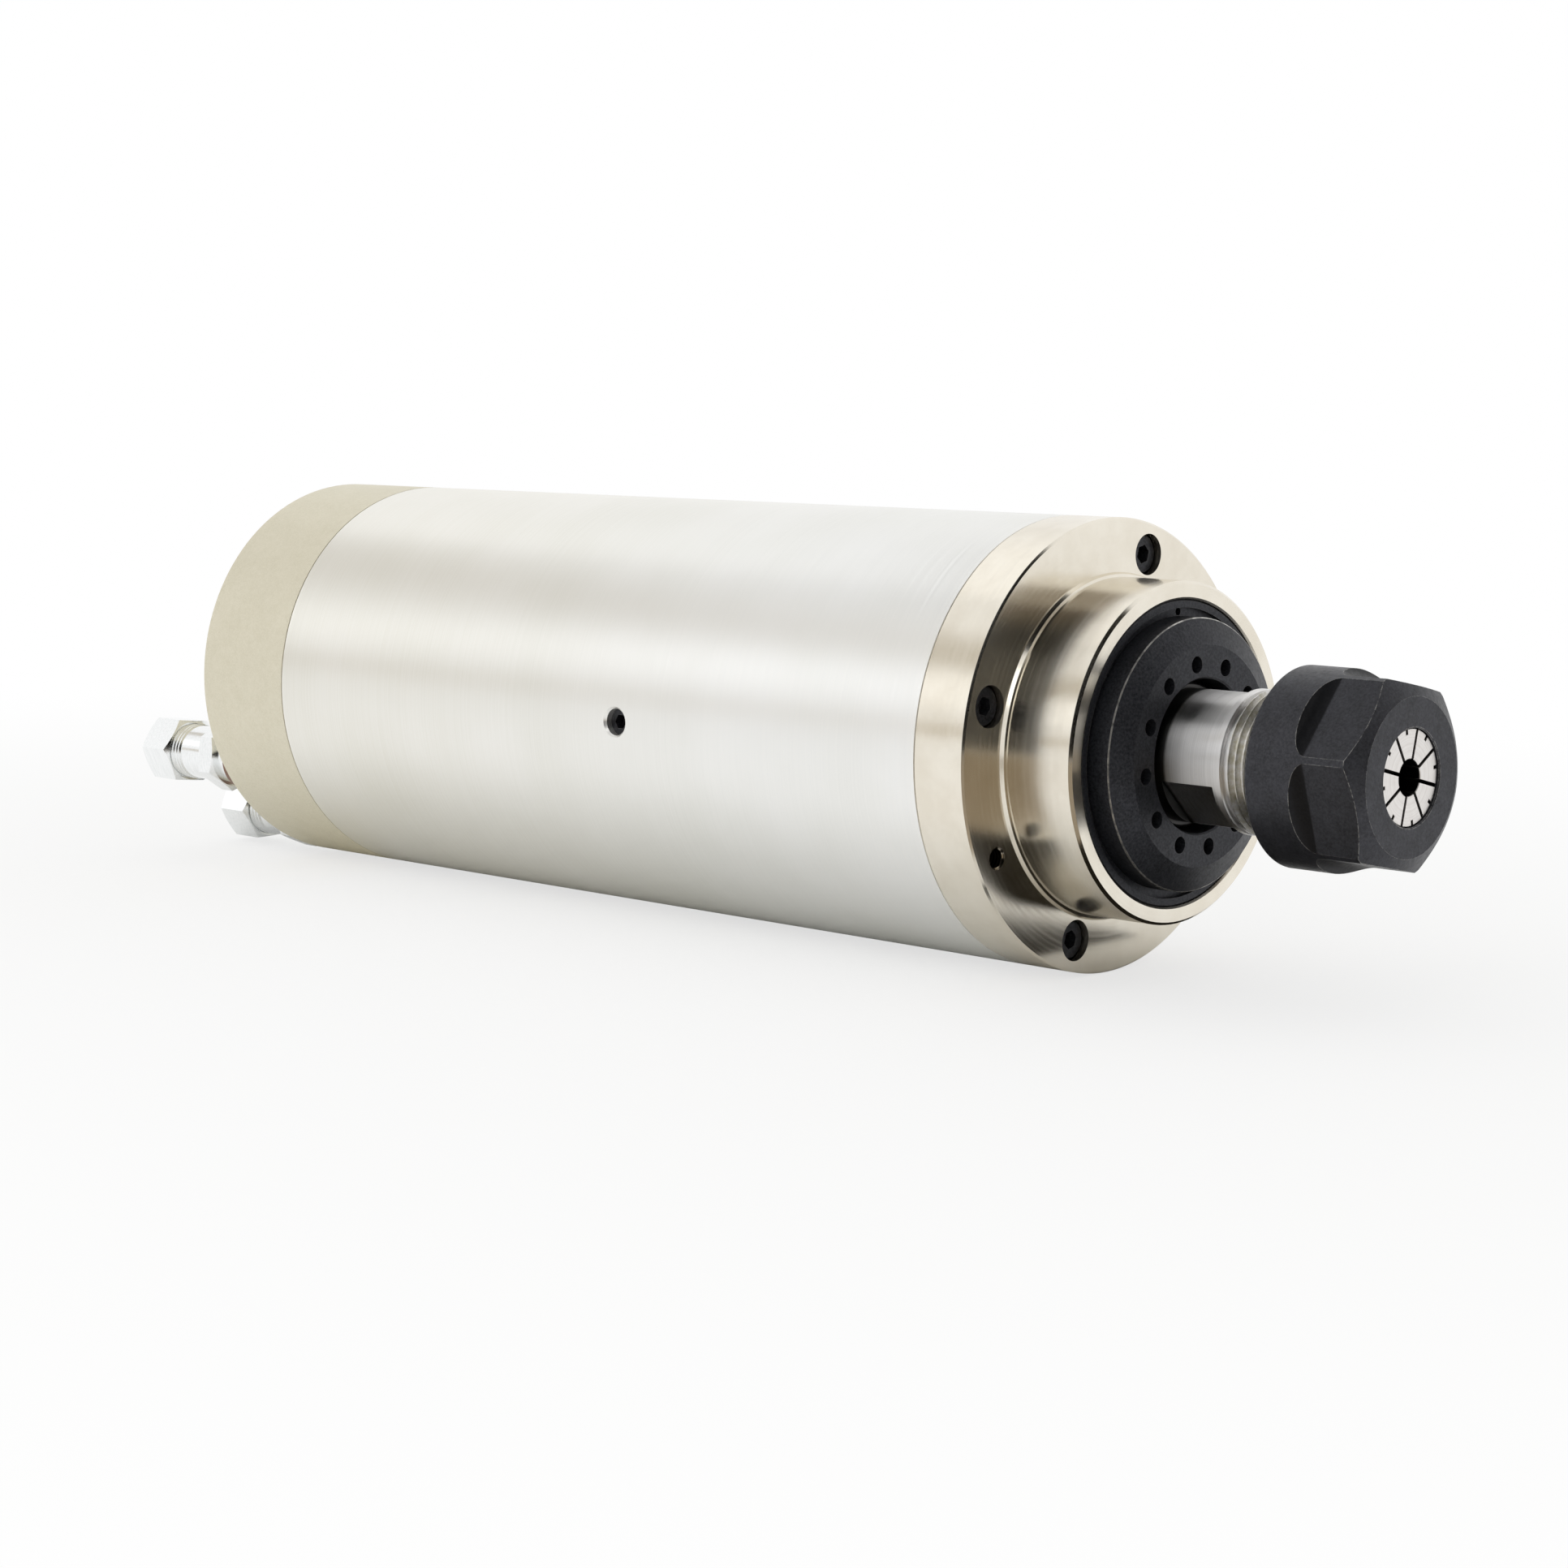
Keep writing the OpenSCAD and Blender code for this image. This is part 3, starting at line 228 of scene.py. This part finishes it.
def card(name, paint, place, target, width, height):
    """A sheet of one tone that shows in polished metal, and nowhere else."""
    mat = bpy.data.materials.new(name)
    mat.use_nodes = True
    tree = mat.node_tree
    tree.nodes.clear()
    tone = add(tree, "Emission", None, {"Color": colour(paint), "Strength": 1.0})
    add(tree, "OutputMaterial", None, {"Surface": tone.outputs[0]})
    bm = bmesh.new()
    bmesh.ops.create_grid(bm, x_segments=1, y_segments=1, size=0.5)
    bmesh.ops.scale(bm, vec=(width, height, 1), verts=bm.verts)
    mesh = bpy.data.meshes.new(name)
    bm.to_mesh(mesh)
    bm.free()
    mesh.materials.append(mat)
    sheet = bpy.data.objects.new(name, mesh)
    aim(sheet, place, target)
    sheet.visible_camera = sheet.visible_diffuse = sheet.visible_shadow = False
    bpy.context.scene.collection.objects.link(sheet)
    print(name, paint)


card("card_gap", "CEC8BE", (-0.62, -0.36, 0.56), (0, 0, 0), 1.0, 0.16)
card("card_horizon", "DAD4CB", (-0.78, -0.82, 0.13), (0, 0, 0), 1.1, 0.10)
card("card_by_camera", "070605", (0.84, -0.56, 0.52), (0.1, 0, 0.52), 0.95, 1.12)
card("card_before_nose", "0F0D0A", (1.02, 0.22, 0.22), (0.1, 0, 0.22), 0.62, 0.52)
card("card_above_nose", "0F0D0A", (0.68, -0.18, 0.80), (0.1, 0, 0), 0.55, 0.50)
card("card_far_above", "8C8377", (0.78, 0.32, 0.68), (0.1, 0, 0), 0.50, 0.35)
card("card_over_neck", "0D0D0D", (0.15, -0.054, 0.26), (0.15, -0.054, 0), 0.30, 0.22)
card("card_on_table", "9C9181", (0.40, -0.30, TABLE_Z + 2 * MM), (0.40, -0.30, -1), 0.56, 0.54)
# Painted shadow: the nose's contact shadow on the table, which only the metal mirrors.
card("painted_shadow_under_nose", "1E1B16", (0.128, -0.010, TABLE_Z + 3 * MM), (0.128, -0.010, -1),
     0.044, 0.060)

# %% [markdown]
# ## Shared patterns
# Nearly every visible surface was turned on a lathe. The tool leaves fine rings: on a face they
# are concentric, on a cylinder they lie side by side along it. Both are the same pattern when it
# is read from the radius and the station alone, so each finish gets that pair of coordinates.
# Real tool marks are 0.05 to 0.2 mm apart. Some are drawn coarser so that the picture shows them.

# %% Patterns
QUARTER_TURN = 0.25  # turns an anisotropic streak across its tangent
finishes = {}


class Place:
    """The shaded point, its station and radius in metres, and those two as one vector, on which a
    pattern forms rings."""

    def __init__(self, tree):
        self.point = add(tree, "TexCoord").outputs["Object"]
        split = add(tree, "SeparateXYZ", None, {0: self.point})
        across = add(tree, "CombineXYZ", None, {1: split.outputs[1], 2: split.outputs[2]})
        radius = add(tree, "VectorMath", {"operation": "LENGTH"}, {0: across.outputs[0]})
        self.along = split.outputs[0]
        self.radius = radius.outputs["Value"]
        self.pair = add(tree, "CombineXYZ", None, {0: self.along, 1: self.radius}).outputs[0]


def start(name, base, metallic, roughness, **others):
    """A new finish with these values. Gives its node tree and its shader."""
    mat = bpy.data.materials.new(name)
    mat.use_nodes = True
    shader = mat.node_tree.nodes["Principled BSDF"]
    shader.inputs["Base Color"].default_value = colour(base)
    shader.inputs["Metallic"].default_value = metallic
    shader.inputs["Roughness"].default_value = roughness
    for key, value in others.items():
        shader.inputs[key.replace("_", " ")].default_value = value
    finishes[name] = mat
    return mat.node_tree, shader


def grains(size_mm):
    """Scale at which a noise texture has features of this size."""
    return 1.0 / (size_mm * MM)


def waves(pitch_mm):
    """Scale at which a wave texture, which has 20 radians to a unit, repeats over this length."""
    return 2 * math.pi / (20 * pitch_mm * MM)


def speckle(tree, vector, size_mm, low=0.0, high=1.0, detail=2.0, rough=0.5, edge=0.18):
    """Noise of one grain size, stretched to run from low to high."""
    noise = add(tree, "TexNoise", None, {"Vector": vector, "Scale": grains(size_mm),
                                         "Detail": detail, "Roughness": rough})
    return add(tree, "MapRange", None, {"Value": noise.outputs[0], "From Min": 0.5 - edge,
                                        "From Max": 0.5 + edge, "To Min": low,
                                        "To Max": high}).outputs[0]


def band_mask(tree, value, centre_mm, half_mm, soft_mm):
    """1 where value, in metres, is within half_mm of centre_mm, falling to 0 over soft_mm."""
    gap = add(tree, "Math", {"operation": "SUBTRACT"}, {0: value, 1: centre_mm * MM})
    gap = add(tree, "Math", {"operation": "ABSOLUTE"}, {0: gap.outputs[0]})
    return add(tree, "MapRange", None, {"Value": gap.outputs[0], "From Min": half_mm * MM,
                                        "From Max": (half_mm + soft_mm) * MM,
                                        "To Min": 1.0, "To Max": 0.0}).outputs[0]


def worn_edge(tree, width_mm, power, patches):
    """Up to power on sharp edges, where handling rubs a coating off, broken up by patches. Rounded
    and flat normals differ only there."""
    soft = add(tree, "Bevel", {"samples": 6}, {"Radius": width_mm * MM}).outputs[0]
    hard = add(tree, "NewGeometry").outputs["Normal"]
    match = add(tree, "VectorMath", {"operation": "DOT_PRODUCT"}, {0: soft, 1: hard})
    edge = add(tree, "MapRange", None, {"Value": match.outputs["Value"], "From Min": 0.995,
                                        "From Max": 0.9, "To Min": 0.0, "To Max": power})
    worn = add(tree, "Math", {"operation": "MULTIPLY"}, {0: edge.outputs[0], 1: patches})
    return worn.outputs[0]


print("patterns ready")

# %% [markdown]
# ## Stainless tube
# The body is a stainless steel tube, ground between centres on its outside. The wheel leaves hair
# lines round the tube, too fine to see one by one, which draw every reflection out along the
# axis. An anisotropic shader does the same. Its tangent circles the X axis. Over it lie faint
# broad clouds, because ground steel is never quite even, and the rear half is a little warmer.

# %% Ground stainless
tree, steel = start("ground_stainless", "ECEAE1", 1.0, 0.36,
                    Anisotropic=0.65, Anisotropic_Rotation=QUARTER_TURN)
at = Place(tree)
add(tree, "Tangent", ROUND_X, to=steel.inputs["Tangent"])
clouds = speckle(tree, at.point, 34, detail=3.0)
hair = speckle(tree, at.pair, 0.45, detail=1.0)
forward = add(tree, "MapRange", {"interpolation_type": "SMOOTHSTEP"},
              {"Value": at.along, "From Min": station(-160), "From Max": station(-20)})
warm = add(tree, "Mix", RGBA, {FACTOR: clouds, A: colour("E9E7DE"), B: colour("EFEDE6")})
cool = add(tree, "Mix", RGBA, {FACTOR: clouds, A: colour("EBEBE7"), B: colour("F2F2F0")})
tone = add(tree, "Mix", RGBA, {FACTOR: forward.outputs[0], A: warm.outputs[MIXED],
                               B: cool.outputs[MIXED]})
faint = speckle(tree, at.pair, 0.45, high=0.25, detail=1.0)
add(tree, "Mix", RGBA, {FACTOR: faint, A: tone.outputs[MIXED], B: colour("F6F5F1")},
    to=steel.inputs["Base Color"])
tree.links.new(speckle(tree, at.pair, 0.8, 0.33, 0.40), steel.inputs["Roughness"])
add(tree, "Bump", None, {"Height": hair, "Distance": 0.5 * MICRON}, to=steel.inputs["Normal"])
print("ground_stainless")

# %% [markdown]
# ## Nickel-plated flange
# The flange and its nose are one turned steel piece with a thin nickel plating. Nickel is a warm
# silver, slightly yellow. The faces are turned finely and mirror crisply, so the flange's face and
# the nose show each other, which gives the dark sectors on the face. The round sides are a little
# rougher. Handling leaves faint warm stains. The two jack holes are tapped. Their thread is too
# fine for the solid, so rings 0.7 mm apart stand for it, in painted shade and painted highlight:
# dark in its grooves, pale on its crests.

# %% Plated steel
tree, nickel = start("plated_steel", "E9E3D5", 1.0, 0.2,
                     Anisotropic=0.6, Anisotropic_Rotation=QUARTER_TURN)
at = Place(tree)
add(tree, "Tangent", ROUND_X, to=nickel.inputs["Tangent"])
stain = speckle(tree, at.point, 9, high=0.55, detail=4.0, rough=0.6, edge=0.14)
plate = add(tree, "Mix", RGBA, {FACTOR: stain, A: colour("ECE6D9"), B: colour("DDD5C5")})
facing = add(tree, "SeparateXYZ", None, {0: add(tree, "TexCoord").outputs["Normal"]})
facing = add(tree, "Math", {"operation": "ABSOLUTE"}, {0: facing.outputs[0]})
even = add(tree, "MapRange", None, {"Value": facing.outputs[0], "To Min": 0.22, "To Max": 0.17})
uneven = speckle(tree, at.pair, 0.6, -0.02, 0.02)
add(tree, "Math", {"operation": "ADD"}, {0: even.outputs[0], 1: uneven},
    to=nickel.inputs["Roughness"])
rings = speckle(tree, at.pair, 0.35, detail=1.0)
add(tree, "Bump", None, {"Height": rings, "Distance": 0.2 * MICRON}, to=nickel.inputs["Normal"])
print("plating ready")

# %% Tapped jack holes
JACK_R, JACK_ANGLE = 35.0, math.radians(207.8)
THREAD_R, THREAD_PITCH = 2.1, 0.7  # all in millimetres, as are the stations
FLANGE_FACE = 10.78  # a little under the face's own station, so that the face stays bare
hole = Vector((0, JACK_R * math.cos(JACK_ANGLE), JACK_R * math.sin(JACK_ANGLE))) * MM
flat = add(tree, "VectorMath", {"operation": "MULTIPLY"}, {0: at.point, 1: (0, 1, 1)}).outputs[0]
first = add(tree, "VectorMath", {"operation": "DISTANCE"}, {0: flat, 1: hole})
other = add(tree, "VectorMath", {"operation": "DISTANCE"}, {0: flat, 1: -hole})
nearer = add(tree, "Math", {"operation": "MINIMUM"},
             {0: first.outputs["Value"], 1: other.outputs["Value"]})
inside = band_mask(tree, nearer.outputs[0], 0, THREAD_R, 0.05)
below = add(tree, "Math", {"operation": "LESS_THAN"}, {0: at.along, 1: station(FLANGE_FACE)})
inside = add(tree, "Math", {"operation": "MULTIPLY"}, {0: inside, 1: below.outputs[0]})
turns = add(tree, "TexWave", {"wave_type": "BANDS", "bands_direction": "X"},
            {"Vector": at.point, "Scale": waves(THREAD_PITCH), "Distortion": 0.0})
# Painted shade and highlight of the thread: dark rings for its grooves, pale ones for its crests.
thread_shade_and_light = add(tree, "Mix", RGBA, {FACTOR: turns.outputs[1], A: colour("3A342C"),
                                 B: colour("D6CCBA")})
add(tree, "Mix", RGBA, {FACTOR: inside.outputs[0], A: plate.outputs[MIXED],
                        B: thread_shade_and_light.outputs[MIXED]}, to=nickel.inputs["Base Color"])
print("plated_steel, jack hole at", [round(c, 4) for c in hole])

# %% [markdown]
# ## Blasted rear cap
# The rear cap is blasted with fine grit, which leaves an even matte grey-beige without any bands.
# It is still metal, so it keeps a broad soft sheen. The grit pits are about 0.1 mm and are drawn
# at 0.35 mm so that they show.

# %% Blasted steel
tree, blasted = start("blasted_steel", "DED9C6", 1.0, 0.62)
where = add(tree, "TexCoord").outputs["Object"]
pits = speckle(tree, where, 0.35)
patches = speckle(tree, where, 5, detail=5.0, rough=0.6)
tone = add(tree, "Mix", RGBA, {FACTOR: patches, A: colour("DBD6C3"), B: colour("DFDAC8")})
few = add(tree, "Math", {"operation": "MULTIPLY"}, {0: pits, 1: 0.5})
add(tree, "Mix", RGBA, {FACTOR: few.outputs[0], A: tone.outputs[MIXED], B: colour("E8E3D3")},
    to=blasted.inputs["Base Color"])
tree.links.new(speckle(tree, where, 1.2, 0.58, 0.66), blasted.inputs["Roughness"])
add(tree, "Bump", None, {"Height": pits, "Distance": 14 * MICRON}, to=blasted.inputs["Normal"])
print("blasted_steel")

# %% [markdown]
# ## Black oxide
# The gland nut, the collet nut and the screws are blackened steel: a thin oxide skin, blue-black
# and slightly oily, that rubs through to bright steel on sharp edges. One function makes the skin:
# clouds of two close blacks, pale dust in small specks, painted shade where one mask says so, and
# bright steel where another says so. Each piece then gets the masks of its own wear and painted
# light: the gland's holds a painted highlight on its rim, the collet nut's painted shade.

# %% Black oxide


def black_oxide(name, base, light, roughness, wear_and_highlight, shade=None):
    """Blackened steel. Its masks give worn places with painted highlights, and painted shade."""
    tree, skin = start(name, base, 0.6, roughness, Specular_IOR_Level=0.4)
    at = Place(tree)
    clouds = speckle(tree, at.point, 3.5, detail=4.0, rough=0.6)
    tone = add(tree, "Mix", RGBA, {FACTOR: clouds, A: colour(base), B: colour(light)})
    dust = speckle(tree, at.point, 0.45, high=0.5, detail=4.0, rough=0.7, edge=0.16)
    tone = add(tree, "Mix", RGBA, {FACTOR: dust, A: tone.outputs[MIXED], B: colour("4E4F54")})
    # Painted shade, where the shade mask says so.
    if shade:
        tone = add(tree, "Mix", RGBA, {FACTOR: shade(tree, at), A: tone.outputs[MIXED],
                                       B: colour("101012")})
    # For the gland this mask holds a painted highlight on its rim as well as wear.
    rubbed_and_highlit = wear_and_highlight(tree, at)
    add(tree, "Mix", RGBA, {FACTOR: rubbed_and_highlit, A: tone.outputs[MIXED], B: colour("C9C7C2")},
        to=skin.inputs["Base Color"])
    add(tree, "MapRange", None, {"Value": rubbed_and_highlit, "To Min": 0.6, "To Max": 1.0},
        to=skin.inputs["Metallic"])
    gloss = speckle(tree, at.point, 0.8, roughness - 0.05, roughness + 0.05)
    tree.links.new(gloss, skin.inputs["Roughness"])
    grain = speckle(tree, at.pair, 0.25, detail=1.0)
    add(tree, "Bump", None, {"Height": grain, "Distance": 1 * MICRON}, to=skin.inputs["Normal"])
    print(name)


# %% Wear of the gland and the screws, and a painted highlight on the gland's rim
DISC_R, DISC_FRONT = 23.55, 28.45  # the rim of the gland's raised disc


def gland_wear_and_highlight(tree, at):
    """Painted highlight, a thin bright ring broken in places, on the disc's rim; and worn edges."""
    highlight_breaks = speckle(tree, at.point, 1.6, 0.3, 1.0, detail=3.0, rough=0.6, edge=0.1)
    # Painted highlight on the raised disc's rim, broken in places.
    painted_rim_highlight = add(tree, "Math", {"operation": "MULTIPLY"},
               {0: band_mask(tree, at.radius, DISC_R, 0.10, 0.06),
                1: band_mask(tree, at.along, SEAM_MM + DISC_FRONT, 0.12, 0.08)})
    painted_rim_highlight = add(tree, "Math", {"operation": "MULTIPLY"}, {0: painted_rim_highlight.outputs[0], 1: highlight_breaks})
    patches = speckle(tree, at.point, 1.1, detail=3.0, rough=0.6, edge=0.08)
    edges = worn_edge(tree, 0.12, 0.22, patches)
    return add(tree, "Math", {"operation": "MAXIMUM"}, {0: painted_rim_highlight.outputs[0], 1: edges}).outputs[0]


def screw_wear(tree, at):
    """Slightly rubbed edges."""
    patches = speckle(tree, at.point, 0.5, detail=3.0, rough=0.6, edge=0.12)
    return worn_edge(tree, 0.12, 0.25, patches)


black_oxide("gland_black", "191A1E", "232429", 0.42, gland_wear_and_highlight)
black_oxide("black_oxide_steel", "141416", "1C1C1F", 0.36, screw_wear)

# %% Wear and painted shade of the collet nut
RUN_OUT_END = 66  # no trace of the cutter's run-out is in front of this station


def nut_wear(tree, at):
    """Rubbed corners of the hexagon and small knocks."""
    patches = speckle(tree, at.point, 0.9, 0.05, 1.0, detail=4.0, rough=0.7, edge=0.1)
    return worn_edge(tree, 0.22, 0.75, patches)


def cutter_shade(tree, at):
    """Painted shade on the curved ends where the milling cutter ran out, which face the front."""
    normal = add(tree, "SeparateXYZ", None, {0: add(tree, "TexCoord").outputs["Normal"]})
    turned = add(tree, "MapRange", None,
                 {"Value": normal.outputs[0], "From Min": 0.06, "From Max": 0.14})
    behind = add(tree, "Math", {"operation": "LESS_THAN"}, {0: at.along, 1: station(RUN_OUT_END)})
    shade = add(tree, "Math", {"operation": "MULTIPLY"},
                {0: turned.outputs[0], 1: behind.outputs[0]})
    return add(tree, "Math", {"operation": "MULTIPLY"}, {0: shade.outputs[0], 1: 0.8}).outputs[0]


black_oxide("nut_black", "29292C", "35353A", 0.42, nut_wear, cutter_shade)

# %% [markdown]
# ## Ground shaft
# The shaft end is ground and polished round its axis, so reflections run along it in crisp bands.
# Deep in the gland's bore it is painted dark, as the shade there, and the thread behind the nut
# holds a trace of old oil, which is yellow.

# %% Ground shaft
SHADE_FULL, SHADE_END = 30.6, 31.2
OIL_CENTRE, OIL_HALF, OIL_SOFT = 48, 3.5, 0.8
tree, ground = start("ground_shaft", "E2E1E0", 1.0, 0.3,
                     Anisotropic=0.85, Anisotropic_Rotation=QUARTER_TURN)
at = Place(tree)
add(tree, "Tangent", ROUND_X, to=ground.inputs["Tangent"])
lines = speckle(tree, at.pair, 0.3, detail=1.0)
bright = add(tree, "Mix", RGBA, {FACTOR: lines, A: colour("DDDCDB"), B: colour("E8E7E6")})
drops = speckle(tree, at.point, 1.1, high=0.55, detail=3.0, rough=0.6, edge=0.16)
oil = add(tree, "Math", {"operation": "MULTIPLY"},
          {0: band_mask(tree, at.along, SEAM_MM + OIL_CENTRE, OIL_HALF, OIL_SOFT), 1: drops})
oiled = add(tree, "Mix", RGBA, {FACTOR: oil.outputs[0], A: bright.outputs[MIXED],
                                B: colour("A59D78")})
# Painted shade: the shaft darkens deep in the gland's bore.
painted_bore_shade = add(tree, "MapRange", None, {"Value": at.along, "From Min": station(SHADE_FULL),
                                    "From Max": station(SHADE_END),
                                    "To Min": 0.92, "To Max": 0.0})
add(tree, "Mix", RGBA, {FACTOR: painted_bore_shade.outputs[0], A: oiled.outputs[MIXED], B: colour("1B1A19")},
    to=ground.inputs["Base Color"])
tree.links.new(speckle(tree, at.pair, 0.4, 0.31, 0.37), ground.inputs["Roughness"])
add(tree, "Bump", None, {"Height": lines, "Distance": 0.3 * MICRON}, to=ground.inputs["Normal"])
print("ground_shaft")

# %% [markdown]
# ## Collet
# The collet is hardened, ground and left bare. Its face has a fine matt grind, nearly white in a
# white room. Its bore is painted near black and its other surfaces behind the face mid grey, as
# painted shade.

# %% Collet steel
FACE_FROM = 71.45  # just behind the collet's face
BORE_EDGE = 3.1 * MM  # just outside its bore
tree, bare = start("collet_steel", "EAE6E2", 1.0, 0.42)
at = Place(tree)
grind = speckle(tree, at.pair, 0.3)
pale = add(tree, "Mix", RGBA, {FACTOR: grind, A: colour("E4E0DC"), B: colour("EEEBE8")})
front = add(tree, "Math", {"operation": "GREATER_THAN"}, {0: at.along, 1: station(FACE_FROM)})
outer = add(tree, "Math", {"operation": "GREATER_THAN"}, {0: at.radius, 1: BORE_EDGE})
face = add(tree, "Math", {"operation": "MULTIPLY"}, {0: front.outputs[0], 1: outer.outputs[0]})
# Painted shade: near black in the bore, mid grey on the slot walls and sides.
painted_inner_shade = add(tree, "Mix", RGBA, {FACTOR: outer.outputs[0], A: colour("1C1B1A"), B: colour("8E8A86")})
add(tree, "Mix", RGBA, {FACTOR: face.outputs[0], A: painted_inner_shade.outputs[MIXED], B: pale.outputs[MIXED]},
    to=bare.inputs["Base Color"])
tree.links.new(speckle(tree, at.point, 1.0, 0.38, 0.46), bare.inputs["Roughness"])
add(tree, "Bump", None, {"Height": grind, "Distance": 0.4 * MICRON}, to=bare.inputs["Normal"])
print("collet_steel")

# %% [markdown]
# ## Plain metals
# Most other metals differ only in colour, gloss and the size of their marks, so one recipe serves
# them: rings for turned pieces, even grain for cast or drawn ones.

# %% Plain metals


def plain_metal(name, base, light, roughness, mark_mm, microns, turned=True, ring=0.0):
    """A bare metal with two close shades, marks of one size and a shallow relief."""
    tree, metal = start(name, base, 1.0, roughness,
                        Anisotropic=ring, Anisotropic_Rotation=QUARTER_TURN)
    at = Place(tree)
    if ring:
        add(tree, "Tangent", ROUND_X, to=metal.inputs["Tangent"])
    marks = speckle(tree, at.pair if turned else at.point, mark_mm)
    add(tree, "Mix", RGBA, {FACTOR: marks, A: colour(base), B: colour(light)},
        to=metal.inputs["Base Color"])
    gloss = speckle(tree, at.point, 4 * mark_mm, roughness * 0.85, roughness * 1.2)
    tree.links.new(gloss, metal.inputs["Roughness"])
    add(tree, "Bump", None, {"Height": marks, "Distance": microns * MICRON},
        to=metal.inputs["Normal"])
    print(name, "marks", mark_mm, "mm")


plain_metal("turned_aluminium", "C9CBCD", "D4D6D7", 0.28, 0.3, 1.0, ring=0.5)
plain_metal("plain_steel", "9A9B9C", "AAABAC", 0.32, 0.3, 1.0, ring=0.3)
plain_metal("bearing_steel", "C6C8CA", "D2D4D5", 0.1, 0.4, 0.3)
plain_metal("cast_aluminium", "B6B8BA", "C8CACB", 0.48, 0.8, 12, turned=False)
plain_metal("plated_brass", "EEF0F0", "F6F7F7", 0.16, 0.5, 0.3)
plain_metal("contact_brass", "CDAA5C", "D9BA74", 0.22, 0.3, 0.8)
plain_metal("copper_washer", "7E6455", "8C7263", 0.4, 0.3, 1.0)

# %% [markdown]
# ## Motor
# The cores are stacks of punched sheets, each half a millimetre thick, so their sides show a fine
# ring for each sheet. The windings are enamelled copper wire under a dark varnish. Wave bands
# with the wire's own spacing draw the strands.

# %% Laminated cores
SHEET = 0.5
tree, sheets = start("core_lamination", "6C6F73", 1.0, 0.45)
where = add(tree, "TexCoord").outputs["Object"]
stack = add(tree, "TexWave",
            {"wave_type": "BANDS", "bands_direction": "X", "wave_profile": "SAW"},
            {"Vector": where, "Scale": waves(SHEET), "Distortion": 0.0}).outputs[1]
add(tree, "Mix", RGBA, {FACTOR: stack, A: colour("54575B"), B: colour("85888C")},
    to=sheets.inputs["Base Color"])
tree.links.new(speckle(tree, where, 3, 0.4, 0.55), sheets.inputs["Roughness"])
add(tree, "Bump", None, {"Height": stack, "Distance": 25 * MICRON}, to=sheets.inputs["Normal"])
print("core_lamination")

# %% Copper windings
WIRE = 0.75
tree, wires = start("copper_winding", "A8592E", 0.7, 0.35,
                    Coat_Weight=0.6, Coat_Roughness=0.15)
at = Place(tree)
strands = add(tree, "TexWave", {"wave_type": "BANDS", "bands_direction": "DIAGONAL"},
              {"Vector": at.pair, "Scale": waves(WIRE), "Distortion": 1.5,
               "Detail": 1.0}).outputs[1]
add(tree, "Mix", RGBA, {FACTOR: strands, A: colour("6B3016"), B: colour("BC6C3A")},
    to=wires.inputs["Base Color"])
add(tree, "Bump", None, {"Height": strands, "Distance": 180 * MICRON}, to=wires.inputs["Normal"])
print("copper_winding")

# %% [markdown]
# ## Rubber, plastics and felt
# Seals are black nitrile rubber. The socket insert and the ball cages are phenolic moulding, the
# slot wedges glass-reinforced epoxy sheet, the gland's ring is wool felt and the leads have
# silicone insulation. None of them is metallic, and their gloss follows how they were made.

# %% Soft and moulded materials


def moulded(name, base, light, roughness, grain_mm, microns, detail=2.0, **others):
    """A non-metal with two close shades and a fine grain."""
    tree, body = start(name, base, 0.0, roughness, **others)
    where = add(tree, "TexCoord").outputs["Object"]
    grain = speckle(tree, where, grain_mm, detail=detail)
    add(tree, "Mix", RGBA, {FACTOR: grain, A: colour(base), B: colour(light)},
        to=body.inputs["Base Color"])
    gloss = speckle(tree, where, 3 * grain_mm, roughness * 0.85, min(1.0, roughness * 1.15))
    tree.links.new(gloss, body.inputs["Roughness"])
    add(tree, "Bump", None, {"Height": grain, "Distance": microns * MICRON},
        to=body.inputs["Normal"])
    print(name, "grain", grain_mm, "mm")


moulded("seal_rubber", "17181A", "222326", 0.6, 0.3, 6)
moulded("phenolic", "1B1C1E", "28292C", 0.42, 0.4, 5)
moulded("cage_phenolic", "7A5A2E", "97743F", 0.5, 0.5, 10)
moulded("slot_wedge", "C9B677", "DCCB92", 0.45, 0.6, 8)
moulded("felt", "B4AD98", "CFC9B7", 0.95, 0.4, 60, 6.0, Sheen_Weight=0.4)
moulded("lead_insulation", "8E2A20", "A53A2E", 0.45, 0.6, 4)
moulded("earth_insulation", "5E7A24", "B8A72C", 0.45, 1.6, 4)

# %% [markdown]
# ## Dressing the solids
# Each solid names its finish in the imported record. The gland nut and the collet nut have finishes
# of their own here, because they wear in other places than the blackened screws, and carry painted
# light: a highlight on the gland's rim and shade on the collet nut's run-outs.

# %% Dress
own_finish = {"gland_nut": "gland_black", "collet_nut": "nut_black"}
slots = {part["node"]: part["material_slot"] for part in frame["record"]["subparts"]}
for name, solid in solids.items():
    solid.data.materials.clear()
    solid.data.materials.append(finishes[own_finish.get(name, slots[name])])
print("dressed", len(solids), "solids in", len(set(slots.values())), "finishes")
